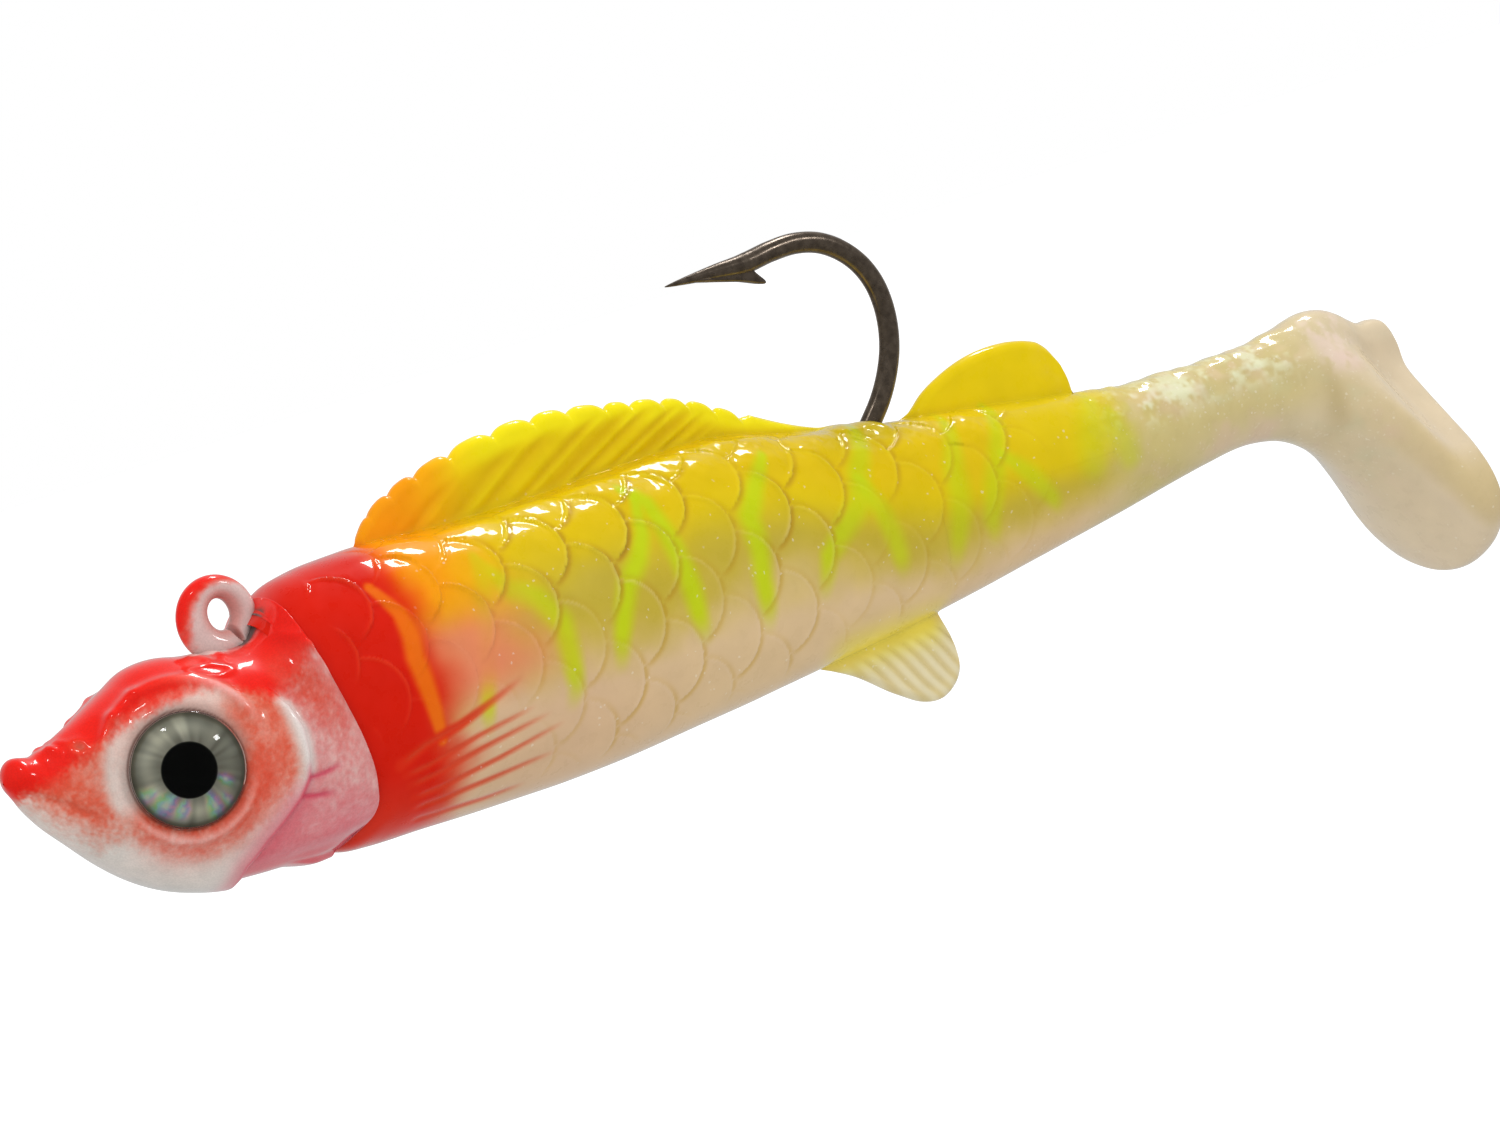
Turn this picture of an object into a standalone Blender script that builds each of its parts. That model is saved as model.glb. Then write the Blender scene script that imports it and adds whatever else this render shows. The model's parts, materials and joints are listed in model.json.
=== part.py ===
"""A paddle-tail swimbait: a painted lead jig head cast on a hook, with a soft plastic minnow body on it.

The design is in millimetres: a station from the nose tip towards the tail, a width to the fish's left or
right, and a height above the body's axis. place() turns that into the part's own frame, in metres, whose
origin is the centre of the line tie. The head points along -X, up is +Z, and the fish's left side is at -Y.
The body is one soft moulding that bends behind the hook, so it is made in four lengths on upright hinges.
"""
import math

import bmesh
import bpy
import numpy as np
from mathutils import Matrix, Vector

MM = 0.001
TIE_STATION, TIE_HEIGHT = 12.15, 5.5
CLEARANCE = 0.3           # between the lengths of the soft body, and between it and what is inside it
CAST_CLEARANCE = 0.1      # between the hook and the lead cast round it

# stations of the flex hinges, the radius of the knuckle that turns there and the widest turn in degrees
BODY_FLEX = {"station": 52.5, "radius": 2.9, "turn": 12.0}
STEM_FLEX = {"station": 61.2, "radius": 2.15, "turn": 20.0}
PADDLE_FLEX = {"station": 70.6, "radius": 1.95, "turn": 30.0}

SECTION_COLUMNS = 26      # points round each section of the head and the body
SECTION_MIDDLE = 0.52     # height share at which a section is widest
SECTION_FULLNESS = 0.92   # power that squares a section a little
BODY_STEPS = [(17.5, 64.0, 2.5), (64.0, 77.0, 0.9)]   # first, last and step of the sections between
ROUND_SIDES = 32
SHARP_ANGLE = 35.0        # degrees between faces from which an edge is shaded sharp
WIRE_RADIUS = 0.5
RING_RADIUS = 1.32        # of the line tie's centre line
RING_WIRE = 0.62          # its wire with the paint on it
SHANK_HEIGHT = 0.9
HOOK_LEAVES_BODY = 8.0    # height above which the hook is clear of the body
HEAD_END = 13.95          # station of the head's last section, before it follows the gill covers' edge
GILL_START, GILL_FADE = 7.5, 21.0   # stations between which sections follow that edge

EYE_STATION, EYE_WIDTH, EYE_HEIGHT = 6.8, 3.42, 0.0
EYE_RADIUS, EYE_DOME, EYE_RIM = 2.5, 1.2, 0.15
EYE_TURN = 20.0           # degrees that each eye looks forward of square to the side
SOCKET_RADIUS, SOCKET_DEPTH = 2.75, 0.5
FOIL_THICKNESS, PAD_THICKNESS, LAYER_GAP = 0.1, 0.25, 0.05

# head sections: station, top, bottom, half width
HEAD_SECTIONS = [
    (0.15, 2.22, 1.30, 0.48), (0.50, 2.55, 0.52, 0.92), (1.10, 2.62, -0.50, 1.22),
    (2.20, 2.70, -1.80, 1.70), (3.30, 3.10, -3.02, 2.22), (4.60, 3.62, -4.14, 2.85),
    (6.00, 4.22, -4.98, 3.42), (7.20, 4.72, -5.44, 3.84), (8.40, 4.80, -5.75, 4.16),
    (9.60, 4.54, -5.88, 4.40), (11.00, 4.32, -5.98, 4.62), (12.30, 4.24, -6.04, 4.78),
    (13.20, 4.36, -6.04, 4.90), (13.65, 5.10, -6.02, 4.94), (HEAD_END, 5.88, -6.00, 4.96),
]

# edge of the gill covers: height, how far behind its section it lies
GILL_EDGE = [
    (-6.6, -0.45), (-6.0, -0.25), (-5.3, 0.45), (-4.4, 1.12), (-3.4, 1.12), (-1.4, 0.78), (0.5, 0.42),
    (2.2, 0.14), (4.0, 0.0), (5.9, 0.2), (6.8, 0.3),
]

# soft body sections: station, top, bottom, half width, share of the paddle's outline in the section
BODY_SECTIONS = [
    (14.28, 5.70, -5.70, 4.50, 0), (14.90, 6.20, -6.00, 4.74, 0), (16.00, 6.42, -6.12, 4.86, 0),
    (19.00, 6.56, -6.26, 4.95, 0), (24.00, 6.28, -6.44, 4.95, 0), (29.00, 6.18, -6.46, 4.80, 0),
    (34.00, 6.20, -6.20, 4.50, 0), (39.00, 6.08, -5.90, 4.10, 0), (44.00, 4.95, -5.50, 3.65, 0),
    (49.00, 4.05, -5.04, 3.20, 0), (54.00, 3.36, -4.45, 2.72, 0), (59.00, 2.56, -3.84, 2.30, 0),
    (62.00, 2.14, -3.44, 2.08, 0), (66.00, 1.96, -2.88, 1.85, 0), (69.00, 1.92, -2.74, 1.78, 0),
    (71.20, 2.02, -3.20, 1.98, 0.05), (72.80, 2.26, -4.15, 2.46, 0.2), (74.20, 2.50, -5.60, 3.10, 0.4),
    (75.30, 2.38, -7.30, 3.72, 0.62), (76.20, 1.95, -9.20, 4.20, 0.82), (76.80, 1.50, -10.70, 4.50, 0.96),
    (77.25, 1.20, -11.50, 4.64, 1), (77.60, 1.10, -11.90, 4.70, 1), (78.10, 1.10, -12.00, 4.72, 1),
    (78.60, 1.00, -11.85, 4.64, 1), (78.90, 0.60, -11.30, 4.25, 1),
]
PADDLE_LEAN = 0.085       # how far back the paddle leans towards its lower edge

# outline of the paddle from its top to its lower edge: share of its height, share of its half width
PADDLE_OUTLINE = [
    (0.0, 0.0), (0.015, 0.12), (0.07, 0.18), (0.2, 0.21), (0.31, 0.40), (0.43, 0.63), (0.56, 0.87),
    (0.69, 1.0), (0.81, 0.96), (0.91, 0.72), (0.975, 0.38), (1.0, 0.0),
]

# fin edges: station and height, with the root line sunk in the body
FRONT_FIN = [
    (19.7, 6.6), (20.9, 7.75), (22.5, 8.5), (24.6, 9.05), (27.3, 9.5), (31.3, 9.55), (35.1, 8.95),
    (38.3, 8.2), (41.2, 6.75), (43.5, 5.55), (46.4, 4.5),
]
FRONT_FIN_ROOT = [(46.4, 3.4), (33.0, 4.6), (19.7, 5.2)]
REAR_FIN = [
    (50.0, 3.95), (51.4, 4.78), (52.8, 5.36), (54.4, 5.75), (56.4, 5.82), (57.7, 5.62), (58.6, 5.2), (59.2, 4.5),
    (59.45, 3.6), (59.45, 2.7),
]
REAR_FIN_ROOT = [(59.45, 1.7), (50.0, 2.8)]
ANAL_FIN = [
    (41.6, -5.5), (43.3, -6.66), (45.4, -8.15), (46.6, -8.85), (47.4, -9.0), (48.3, -8.7), (48.9, -8.0),
    (48.95, -7.2), (48.2, -5.0),
]
ANAL_FIN_ROOT = [(48.2, -3.8), (41.6, -4.2)]
FIN_THICKNESS = 0.9
FIN_LOBES, LOBE_DEPTH = 13, 0.3

# centre line of the hook from the line tie to its point: station, height
HOOK_ROUTE = [
    (TIE_STATION, TIE_HEIGHT - RING_RADIUS + 0.1), (12.15, 2.3), (12.45, 1.35), (13.3, SHANK_HEIGHT),
    (20.0, SHANK_HEIGHT), (30.0, 1.0), (38.0, 1.1), (42.5, 1.35), (45.2, 2.1), (46.8, 3.05), (48.05, 4.15),
    (49.12, 5.2), (49.89, 6.25), (50.4, 7.25), (50.7, 8.3), (50.79, 9.3), (50.64, 10.43), (50.18, 11.43),
    (49.42, 12.28), (48.33, 12.96), (47.0, 13.29), (45.5, 13.28), (44.0, 13.12),
]
POINT_TIP = (39.4, 13.22)
POINT_TAPER = [(0.35, 0.36), (0.7, 0.2), (0.97, 0.08)]   # share of the way to the tip, wire radius
BARB = [(40.2, 13.16), (43.3, 12.42), (44.85, 12.0), (44.35, 12.72), (44.2, 13.2)]
BARB_THICKNESS = 0.5

# collar that holds the body on the head: distance behind the head's rear face, radius
COLLAR = [(-2.0, 1.7), (2.2, 1.7), (3.2, 2.3), (3.5, 1.7), (6.0, 1.2)]

CUT_REACH, CUT_SIDE, CUT_HEIGHT = 90.0, 20.0, 60.0   # the hinge cutters reach past everything


def place(station, width, height):
    """A point of the design in the part's frame, in metres."""
    return Vector(((station - TIE_STATION) * MM, width * MM, (height - TIE_HEIGHT) * MM))


def clear_scene():
    """Removes what the file opened with."""
    for found in list(bpy.data.objects):
        bpy.data.objects.remove(found)


def new_collection(name):
    """A collection linked to the scene."""
    made = bpy.data.collections.new(name)
    bpy.context.scene.collection.children.link(made)
    return made


def material(name, colour, roughness, metallic=0.0, alpha=1.0):
    """A Principled material."""
    made = bpy.data.materials.new(name)
    made.use_nodes = True
    shader = made.node_tree.nodes["Principled BSDF"]
    shader.inputs["Base Color"].default_value = (*colour, 1.0)
    shader.inputs["Roughness"].default_value = roughness
    shader.inputs["Metallic"].default_value = metallic
    shader.inputs["Alpha"].default_value = alpha
    return made


def smooth_table(table, at):
    """The columns of a table after its first, read at the places `at` of the first by a smooth curve."""
    rows = np.array(table, float)
    x, y = rows[:, 0], rows[:, 1:]
    slopes = np.gradient(y, x, axis=0)
    i = np.clip(np.searchsorted(x, at) - 1, 0, len(x) - 2)
    width = (x[i + 1] - x[i])[:, None]
    t = ((at - x[i]) / (x[i + 1] - x[i]))[:, None]
    rise = 3 * t**2 - 2 * t**3
    return (
        y[i] * (1 - rise) + y[i + 1] * rise
        + width * slopes[i] * t * (1 - t) ** 2 - width * slopes[i + 1] * t**2 * (1 - t)
    )


def oval(top, bottom, half_width, count):
    """Half of a fish's section, from its top to its bottom, widest a little above its middle."""
    turn = np.linspace(0, math.pi, count)
    centre = bottom + SECTION_MIDDLE * (top - bottom)
    reach = np.where(turn < math.pi / 2, top - centre, centre - bottom)
    width = half_width * np.sin(turn) ** SECTION_FULLNESS
    return np.column_stack([width, centre + reach * np.cos(turn)])


def paddle_half(top, bottom, half_width, count):
    """Half of the paddle's outline, from its top to its bottom, with its points spread evenly."""
    line = np.array(PADDLE_OUTLINE) * (bottom - top, half_width)
    steps = np.hypot(*np.diff(line, axis=0).T)
    length = np.concatenate([[0], np.cumsum(steps)])
    even = np.linspace(0, length[-1], count)
    down = np.interp(even, length, line[:, 0])
    width = np.interp(even, length, line[:, 1])
    return np.column_stack([width, top + down])


def whole_ring(half):
    """A closed section from its right half: down one side and up the other."""
    other = half[-2:0:-1] * (-1, 1)
    return np.vstack([half, other])


def set_back(ring, share, lean):
    """How far back each point of a section lies: by a share of the gill covers' curve, and by a lean."""
    height = ring[:, 1]
    return share * smooth_table(GILL_EDGE, height)[:, 0] + lean * height


def eased(station, front, back):
    """0 before one station, 1 after another and a smooth rise between them."""
    share = np.clip((station - front) / (back - front), 0, 1)
    return share * share * (3 - 2 * share)


def section_points(station, ring, back):
    """The section's points as (station, width, height)."""
    return [(station + shift, width, height) for shift, (width, height) in zip(back, ring)]


def loft(name, rings, caps):
    """A closed solid through rings of equally many points, with a point beyond each end."""
    mesh = bmesh.new()
    rows = [[mesh.verts.new(place(*point)) for point in ring] for ring in rings]
    count = len(rows[0])
    for a, b in zip(rows, rows[1:]):
        for i in range(count):
            j = (i + 1) % count
            mesh.faces.new((a[i], a[j], b[j], b[i]))
    for row, cap in zip((rows[0], rows[-1]), caps):
        tip = mesh.verts.new(place(*cap))
        for i in range(count):
            mesh.faces.new((row[i], row[(i + 1) % count], tip))
    bmesh.ops.recalc_face_normals(mesh, faces=mesh.faces)
    data = bpy.data.meshes.new(name)
    mesh.to_mesh(data)
    mesh.free()
    return bpy.data.objects.new(name, data)


def head_blank():
    """The head's outer shape, from the bulb of the nose to the edge of the gill covers."""
    stations = np.array([row[0] for row in HEAD_SECTIONS])
    rings = []
    for station, (top, bottom, half_width) in zip(stations, smooth_table(HEAD_SECTIONS, stations)):
        ring = whole_ring(oval(top, bottom, half_width, SECTION_COLUMNS // 2 + 1))
        share = eased(station, GILL_START, HEAD_END)
        back = set_back(ring, share, 0.0)
        rings.append(section_points(station, ring, back))
    return loft("head_blank", rings, ((0.0, 0.0, 1.8), (HEAD_END, 0.0, 0.0)))


def body_blank():
    """The soft body's outer shape without its fins, from the gill covers to the back of the paddle."""
    first, last = BODY_SECTIONS[0][0], BODY_SECTIONS[-1][0]
    between = [np.arange(*steps) for steps in BODY_STEPS]
    stations = np.unique(np.concatenate([[row[0] for row in BODY_SECTIONS], *between]))
    count = SECTION_COLUMNS // 2 + 1
    rings = []
    for station, row in zip(stations, smooth_table(BODY_SECTIONS, stations)):
        top, bottom, half_width, paddle = row
        half = oval(top, bottom, half_width, count) * (1 - paddle)
        half += paddle_half(top, bottom, half_width, count) * paddle
        ring = whole_ring(half)
        share = 1 - eased(station, first, GILL_FADE)
        back = set_back(ring, share, -PADDLE_LEAN * paddle)
        rings.append(section_points(station, ring, back))
    return loft("body_blank", rings, ((first, 0.0, 0.0), (last + 0.15, 0.0, -5.5)))


def mesh_from_curve(curve_object):
    """The mesh that a curve makes, welded shut, as an object that takes the curve's place."""
    graph = bpy.context.evaluated_depsgraph_get()
    data = bpy.data.meshes.new_from_object(curve_object.evaluated_get(graph))
    welded = bmesh.new()
    welded.from_mesh(data)
    bmesh.ops.remove_doubles(welded, verts=welded.verts, dist=1e-6)
    bmesh.ops.recalc_face_normals(welded, faces=welded.faces)
    welded.to_mesh(data)
    welded.free()
    name, where = curve_object.name, curve_object.matrix_world.copy()
    bpy.data.objects.remove(curve_object)
    made = bpy.data.objects.new(name, data)
    made.matrix_world = where
    return made


def plate(name, outline, thickness, upright):
    """A flat outline, extruded: in stations and heights if it is upright, in stations and widths if not."""
    curve = bpy.data.curves.new(name, "CURVE")
    curve.dimensions = "2D"
    curve.fill_mode = "BOTH"
    curve.extrude = thickness / 2 * MM
    spline = curve.splines.new("POLY")
    spline.points.add(len(outline) - 1)
    for point, (x, y) in zip(spline.points, outline):
        point.co = (x * MM, y * MM, 0, 1)
    spline.use_cyclic_u = True
    made = bpy.data.objects.new(name, curve)
    bpy.context.scene.collection.objects.link(made)
    made.location = place(0, 0, 0)
    if upright:
        made.rotation_euler = (math.pi / 2, 0, 0)
    bpy.context.view_layer.update()
    return mesh_from_curve(made)


def wire(name, route, radii, sides):
    """A round wire through (station, height) points in the mid plane, with a radius at each."""
    curve = bpy.data.curves.new(name, "CURVE")
    curve.dimensions = "3D"
    curve.bevel_depth = MM
    curve.bevel_resolution = sides
    curve.use_fill_caps = True
    spline = curve.splines.new("POLY")
    spline.points.add(len(route) - 1)
    for point, (station, height), radius in zip(spline.points, route, radii):
        point.co = (*place(station, 0, height), 1)
        point.radius = radius
    made = bpy.data.objects.new(name, curve)
    bpy.context.scene.collection.objects.link(made)
    bpy.context.view_layer.update()
    return mesh_from_curve(made)


def turned(name, profile, station):
    """A solid turned about the hook's shank, from (distance behind the station, radius) points."""
    data = bpy.data.meshes.new(name)
    first, last = profile[0][0], profile[-1][0]
    line = [(last, 0.0), *reversed(profile), (first, 0.0)]
    verts = [(radius * MM, 0, distance * MM) for distance, radius in line]
    data.from_pydata(verts, [(i, i + 1) for i in range(len(verts) - 1)], [])
    made = bpy.data.objects.new(name, data)
    screw = made.modifiers.new("turn", "SCREW")
    screw.steps = screw.render_steps = 20
    screw.use_merge_vertices = True
    screw.merge_threshold = 0.00001
    made.location = place(station, 0, SHANK_HEIGHT)
    made.rotation_euler = (0, math.pi / 2, 0)
    return made


def shape(target, tool, operation, tools):
    """Joins a tool to the target or cuts it away, and keeps the tool with the guides."""
    step = target.modifiers.new(f"{operation.lower()} {tool.name}", "BOOLEAN")
    step.operation = operation
    step.solver = "EXACT"
    step.object = tool
    if tool.name not in tools.objects:
        for holder in list(tool.users_collection):
            holder.objects.unlink(tool)
        tools.objects.link(tool)
        tool.hide_render = True
        tool.display_type = "WIRE"


def settle(target, origin, part_collection, finish):
    """Puts a piece in the part's collection with its origin at a point, shaded smooth, in its material."""
    target.data.transform(Matrix.Translation(-origin) @ target.matrix_world)
    target.matrix_world = Matrix.Translation(origin)
    target.data.materials.clear()
    target.data.materials.append(finish)
    target.data.shade_smooth()
    target.data.set_sharp_from_angle(angle=math.radians(SHARP_ANGLE))
    for holder in list(target.users_collection):
        holder.objects.unlink(target)
    part_collection.objects.link(target)
    bpy.context.view_layer.update()


def smooth_route(points, step):
    """Points a given step apart on a smooth curve through the route's own points."""
    given = np.array(points, float)
    length = np.concatenate([[0], np.cumsum(np.hypot(*np.diff(given, axis=0).T))])
    count = int(length[-1] / step) + 1
    return smooth_table(np.column_stack([length, given]), np.linspace(0, length[-1], count))


def hook_route():
    """The hook's centre line and its radius at each point, down to the sharpened tip."""
    line = smooth_route(HOOK_ROUTE, 1.0)
    last = line[-1]
    tips = [last + (np.array(POINT_TIP) - last) * share for share, _ in POINT_TAPER]
    radii = [WIRE_RADIUS] * len(line) + [radius for _, radius in POINT_TAPER]
    return [*line, *tips], radii


def tie_ring(name, extra):
    """The line tie's ring, in the mid plane, with its wire made thicker by an extra radius."""
    bpy.ops.mesh.primitive_torus_add(
        major_radius=RING_RADIUS * MM, minor_radius=(RING_WIRE + extra) * MM, major_segments=28,
        minor_segments=10, rotation=(math.pi / 2, 0, 0),
    )
    ring = bpy.context.active_object
    ring.name = name
    return ring


def make_hook(parts, tools, finish):
    """The hook: ring, shank, bend, and a point with a barb on its inner side."""
    route, radii = hook_route()
    hook = wire("hook", route, radii, 2)
    settle(hook, Vector((0, 0, 0)), parts, finish)
    shape(hook, tie_ring("line_tie_ring", 0.0), "UNION", tools)
    shape(hook, plate("barb", BARB, BARB_THICKNESS, True), "UNION", tools)


def hook_space(name, extra):
    """The room that the hook's shank takes in what it runs through."""
    line = [point for point in smooth_route(HOOK_ROUTE, 1.0) if point[1] < HOOK_LEAVES_BODY]
    return wire(name, line, [WIRE_RADIUS + extra] * len(line), 2)


def eye_frame(side):
    """Placement of an eye, whose own +Z looks out of its socket. Side is -1 on the left, 1 on the right."""
    turn = math.radians(EYE_TURN)
    outward = Vector((-math.sin(turn), side * math.cos(turn), 0))
    spot = place(EYE_STATION, side * EYE_WIDTH, EYE_HEIGHT)
    return Matrix.Translation(spot) @ outward.to_track_quat("Z", "Y").to_matrix().to_4x4()


def disc(name, radius, low, high, frame):
    """A flat round piece between two heights over the eye's seat."""
    bpy.ops.mesh.primitive_cylinder_add(
        vertices=ROUND_SIDES, radius=radius * MM, depth=(high - low) * MM,
        location=(0, 0, (low + high) / 2 * MM),
    )
    made = bpy.context.active_object
    made.name = name
    made.data.transform(made.matrix_basis)
    made.matrix_world = frame
    return made


def dome(name, frame):
    """The clear lens: a domed cap on a short rim, turned about the eye's axis."""
    rise = EYE_DOME - EYE_RIM
    ball = (EYE_RADIUS**2 + rise**2) / (2 * rise)
    reach = math.asin(EYE_RADIUS / ball)
    arc = [(ball * math.sin(a), EYE_DOME - ball + ball * math.cos(a)) for a in np.linspace(0, reach, 8)]
    line = [*arc, (EYE_RADIUS, 0.0), (0.0, 0.0)]
    data = bpy.data.meshes.new(name)
    verts = [(radius * MM, 0, height * MM) for radius, height in line]
    data.from_pydata(verts, [(i, i + 1) for i in range(len(verts) - 1)], [])
    made = bpy.data.objects.new(name, data)
    screw = made.modifiers.new("turn", "SCREW")
    screw.steps = screw.render_steps = ROUND_SIDES
    screw.use_merge_vertices = True
    screw.merge_threshold = 0.00001
    made.matrix_world = frame
    return made


def make_eye(side, name, parts, finishes):
    """One stick-on eye: an adhesive pad, a printed foil and a clear dome."""
    frame = eye_frame(side)
    foil_top = -LAYER_GAP
    pad_top = foil_top - FOIL_THICKNESS - LAYER_GAP
    layers = {
        "eye_lens_": dome(f"eye_lens_{name}", frame),
        "eye_foil_": disc(f"eye_foil_{name}", EYE_RADIUS, foil_top - FOIL_THICKNESS, foil_top, frame),
        "eye_pad_": disc(f"eye_pad_{name}", EYE_RADIUS - 0.1, pad_top - PAD_THICKNESS, pad_top, frame),
    }
    for kind, layer in layers.items():
        layer.data.materials.append(finishes[kind])
        for holder in list(layer.users_collection):
            holder.objects.unlink(layer)
        parts.objects.link(layer)


def make_head(parts, tools, finish):
    """The lead head: gill covers, eye sockets, the collar that holds the body, and the hook's channel."""
    head = head_blank()
    parts.objects.link(head)
    head.name = "jig_head"
    settle(head, Vector((0, 0, 0)), parts, finish)
    shape(head, turned("collar", COLLAR, HEAD_END), "UNION", tools)
    for side, name in ((-1, "left"), (1, "right")):
        socket = disc(f"socket_{name}", SOCKET_RADIUS, -SOCKET_DEPTH - LAYER_GAP, 3.0, eye_frame(side))
        shape(head, socket, "DIFFERENCE", tools)
    shape(head, hook_space("hook_in_head", CAST_CLEARANCE), "DIFFERENCE", tools)
    shape(head, tie_ring("ring_in_head", CAST_CLEARANCE), "DIFFERENCE", tools)


def hinge_cut(name, station, radius, face, reach):
    """A cutter bounded by an arc about a hinge between two straight faces, which reaches away from them."""
    stop = math.acos((station - face) / radius)
    arc = [(station - radius * math.cos(a), radius * math.sin(a)) for a in np.linspace(-stop, stop, 17)]
    far = face + reach
    outline = [*arc, (face, CUT_SIDE), (far, CUT_SIDE), (far, -CUT_SIDE), (face, -CUT_SIDE)]
    return plate(name, outline, CUT_HEIGHT, False)


def knuckle_cut(name, flex):
    """Leaves the length behind a hinge a round knuckle as its front end."""
    return hinge_cut(name, flex["station"], flex["radius"], flex["station"], -CUT_REACH)


def socket_cut(name, flex):
    """Leaves the length in front of a hinge a socket, and a rear face that stays clear of the widest turn."""
    radius = flex["radius"] + CLEARANCE
    face = flex["station"] - radius * math.sin(math.radians(flex["turn"])) - CLEARANCE
    return hinge_cut(name, flex["station"], radius, face, CUT_REACH)


def body_length(name, blank, fins, hinges, tools):
    """A length of the soft body with its fins; the hinge in front turns it, the one behind turns the next."""
    front_flex, rear_flex = hinges
    length = blank.copy()
    length.data = blank.data.copy()
    length.name = name
    for fin in fins:
        shape(length, fin, "UNION", tools)
    if front_flex:
        shape(length, knuckle_cut(f"{name}_front_cut", front_flex), "DIFFERENCE", tools)
    if rear_flex:
        shape(length, socket_cut(f"{name}_rear_cut", rear_flex), "DIFFERENCE", tools)
    return length


def scalloped(edge):
    """A fin's edge through its own points, with a row of shallow scallops between its ends."""
    line = smooth_route(edge, 0.7)
    share = np.linspace(0, 1, len(line))
    between = 1 - np.abs(np.sin(FIN_LOBES * math.pi * share))
    bite = LOBE_DEPTH * between * np.sin(math.pi * share) ** 0.3
    return [(station, height - drop) for (station, height), drop in zip(line, bite)]


def make_body(parts, tools, finishes):
    """The soft body in its four lengths, with the fins moulded on."""
    blank = body_blank()
    front_fin = plate("front_fin", [*scalloped(FRONT_FIN), *FRONT_FIN_ROOT], FIN_THICKNESS, True)
    anal_fin = plate("anal_fin", [*ANAL_FIN, *ANAL_FIN_ROOT], FIN_THICKNESS, True)
    rear_fin = plate("rear_fin", [*REAR_FIN, *REAR_FIN_ROOT], FIN_THICKNESS, True)
    front = body_length("body_front", blank, (front_fin, anal_fin), (None, BODY_FLEX), tools)
    rear = body_length("body_rear", blank, (rear_fin,), (BODY_FLEX, STEM_FLEX), tools)
    stem = body_length("tail_stem", blank, (), (STEM_FLEX, PADDLE_FLEX), tools)
    paddle = body_length("tail_paddle", blank, (), (PADDLE_FLEX, None), tools)
    bpy.data.objects.remove(blank)
    bore = [(distance, radius + CLEARANCE) for distance, radius in COLLAR]
    bore.append((bore[-1][0] + CLEARANCE, bore[-1][1]))
    shape(front, turned("collar_bore", bore, HEAD_END), "DIFFERENCE", tools)
    shape(front, hook_space("hook_in_body", CLEARANCE / 2), "DIFFERENCE", tools)
    lengths = ((front, None), (rear, BODY_FLEX), (stem, STEM_FLEX), (paddle, PADDLE_FLEX))
    for (length, flex), finish in zip(lengths, finishes):
        origin = place(flex["station"], 0, 0) if flex else Vector((0, 0, 0))
        settle(length, origin, parts, finish)


def main():
    """Builds every piece of the swimbait."""
    clear_scene()
    parts = new_collection("swimbait")
    tools = new_collection("cutters")
    paint = material("head_paint", (0.85, 0.12, 0.08), 0.18)
    nickel = material("hook_nickel", (0.06, 0.05, 0.045), 0.22, 1.0)
    eye_finishes = {
        "eye_lens_": material("eye_resin", (0.9, 0.93, 0.95), 0.03, 0.0, 0.35),
        "eye_foil_": material("eye_foil", (0.55, 0.57, 0.58), 0.25, 1.0),
        "eye_pad_": material("eye_adhesive", (0.85, 0.85, 0.8), 0.6),
    }
    lime = material("body_flank", (0.85, 0.8, 0.45), 0.2)
    pearl = material("tail_pearl", (0.85, 0.78, 0.62), 0.22)
    make_hook(parts, tools, nickel)
    make_head(parts, tools, paint)
    for side, name in ((-1, "left"), (1, "right")):
        make_eye(side, name, parts, eye_finishes)
    make_body(parts, tools, (lime, lime, pearl, pearl))


main()
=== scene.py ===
"""How the paddle-tail swimbait looks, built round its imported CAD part.

Shapes are worked out in the design's own millimetres: a station from the nose tip, a width, and a height
above the body's axis. place() turns them into the row frame, in metres. The soft body and the head are fine
grids swept through the same section tables as the CAD, with scales, fin rays and gill lines as real relief.
"""
import json
import math

import bpy
import numpy as np
from mathutils import Matrix, Vector

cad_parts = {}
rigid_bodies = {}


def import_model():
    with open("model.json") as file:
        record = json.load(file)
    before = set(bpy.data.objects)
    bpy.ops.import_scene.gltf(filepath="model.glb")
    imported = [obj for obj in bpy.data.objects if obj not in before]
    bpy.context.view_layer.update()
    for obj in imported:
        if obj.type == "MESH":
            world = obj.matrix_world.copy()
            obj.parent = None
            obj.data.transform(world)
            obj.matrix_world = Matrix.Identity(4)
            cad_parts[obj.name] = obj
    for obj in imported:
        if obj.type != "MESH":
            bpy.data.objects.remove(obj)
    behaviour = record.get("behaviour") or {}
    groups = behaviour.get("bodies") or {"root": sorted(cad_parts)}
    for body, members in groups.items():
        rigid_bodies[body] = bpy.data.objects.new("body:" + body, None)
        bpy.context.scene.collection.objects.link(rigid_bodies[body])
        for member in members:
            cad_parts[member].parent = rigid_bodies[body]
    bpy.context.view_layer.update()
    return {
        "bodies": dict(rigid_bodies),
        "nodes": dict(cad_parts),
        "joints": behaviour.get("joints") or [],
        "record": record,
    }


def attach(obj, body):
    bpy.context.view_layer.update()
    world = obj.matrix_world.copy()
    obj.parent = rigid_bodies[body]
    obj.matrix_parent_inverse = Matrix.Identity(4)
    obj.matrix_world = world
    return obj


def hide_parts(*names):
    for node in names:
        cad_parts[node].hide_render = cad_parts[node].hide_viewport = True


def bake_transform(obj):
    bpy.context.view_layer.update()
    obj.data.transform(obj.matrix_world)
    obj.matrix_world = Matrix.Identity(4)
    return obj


MM = 0.001
TIE_STATION, TIE_HEIGHT = 12.15, 5.5     # the line tie's middle, where the row frame has its origin

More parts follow.
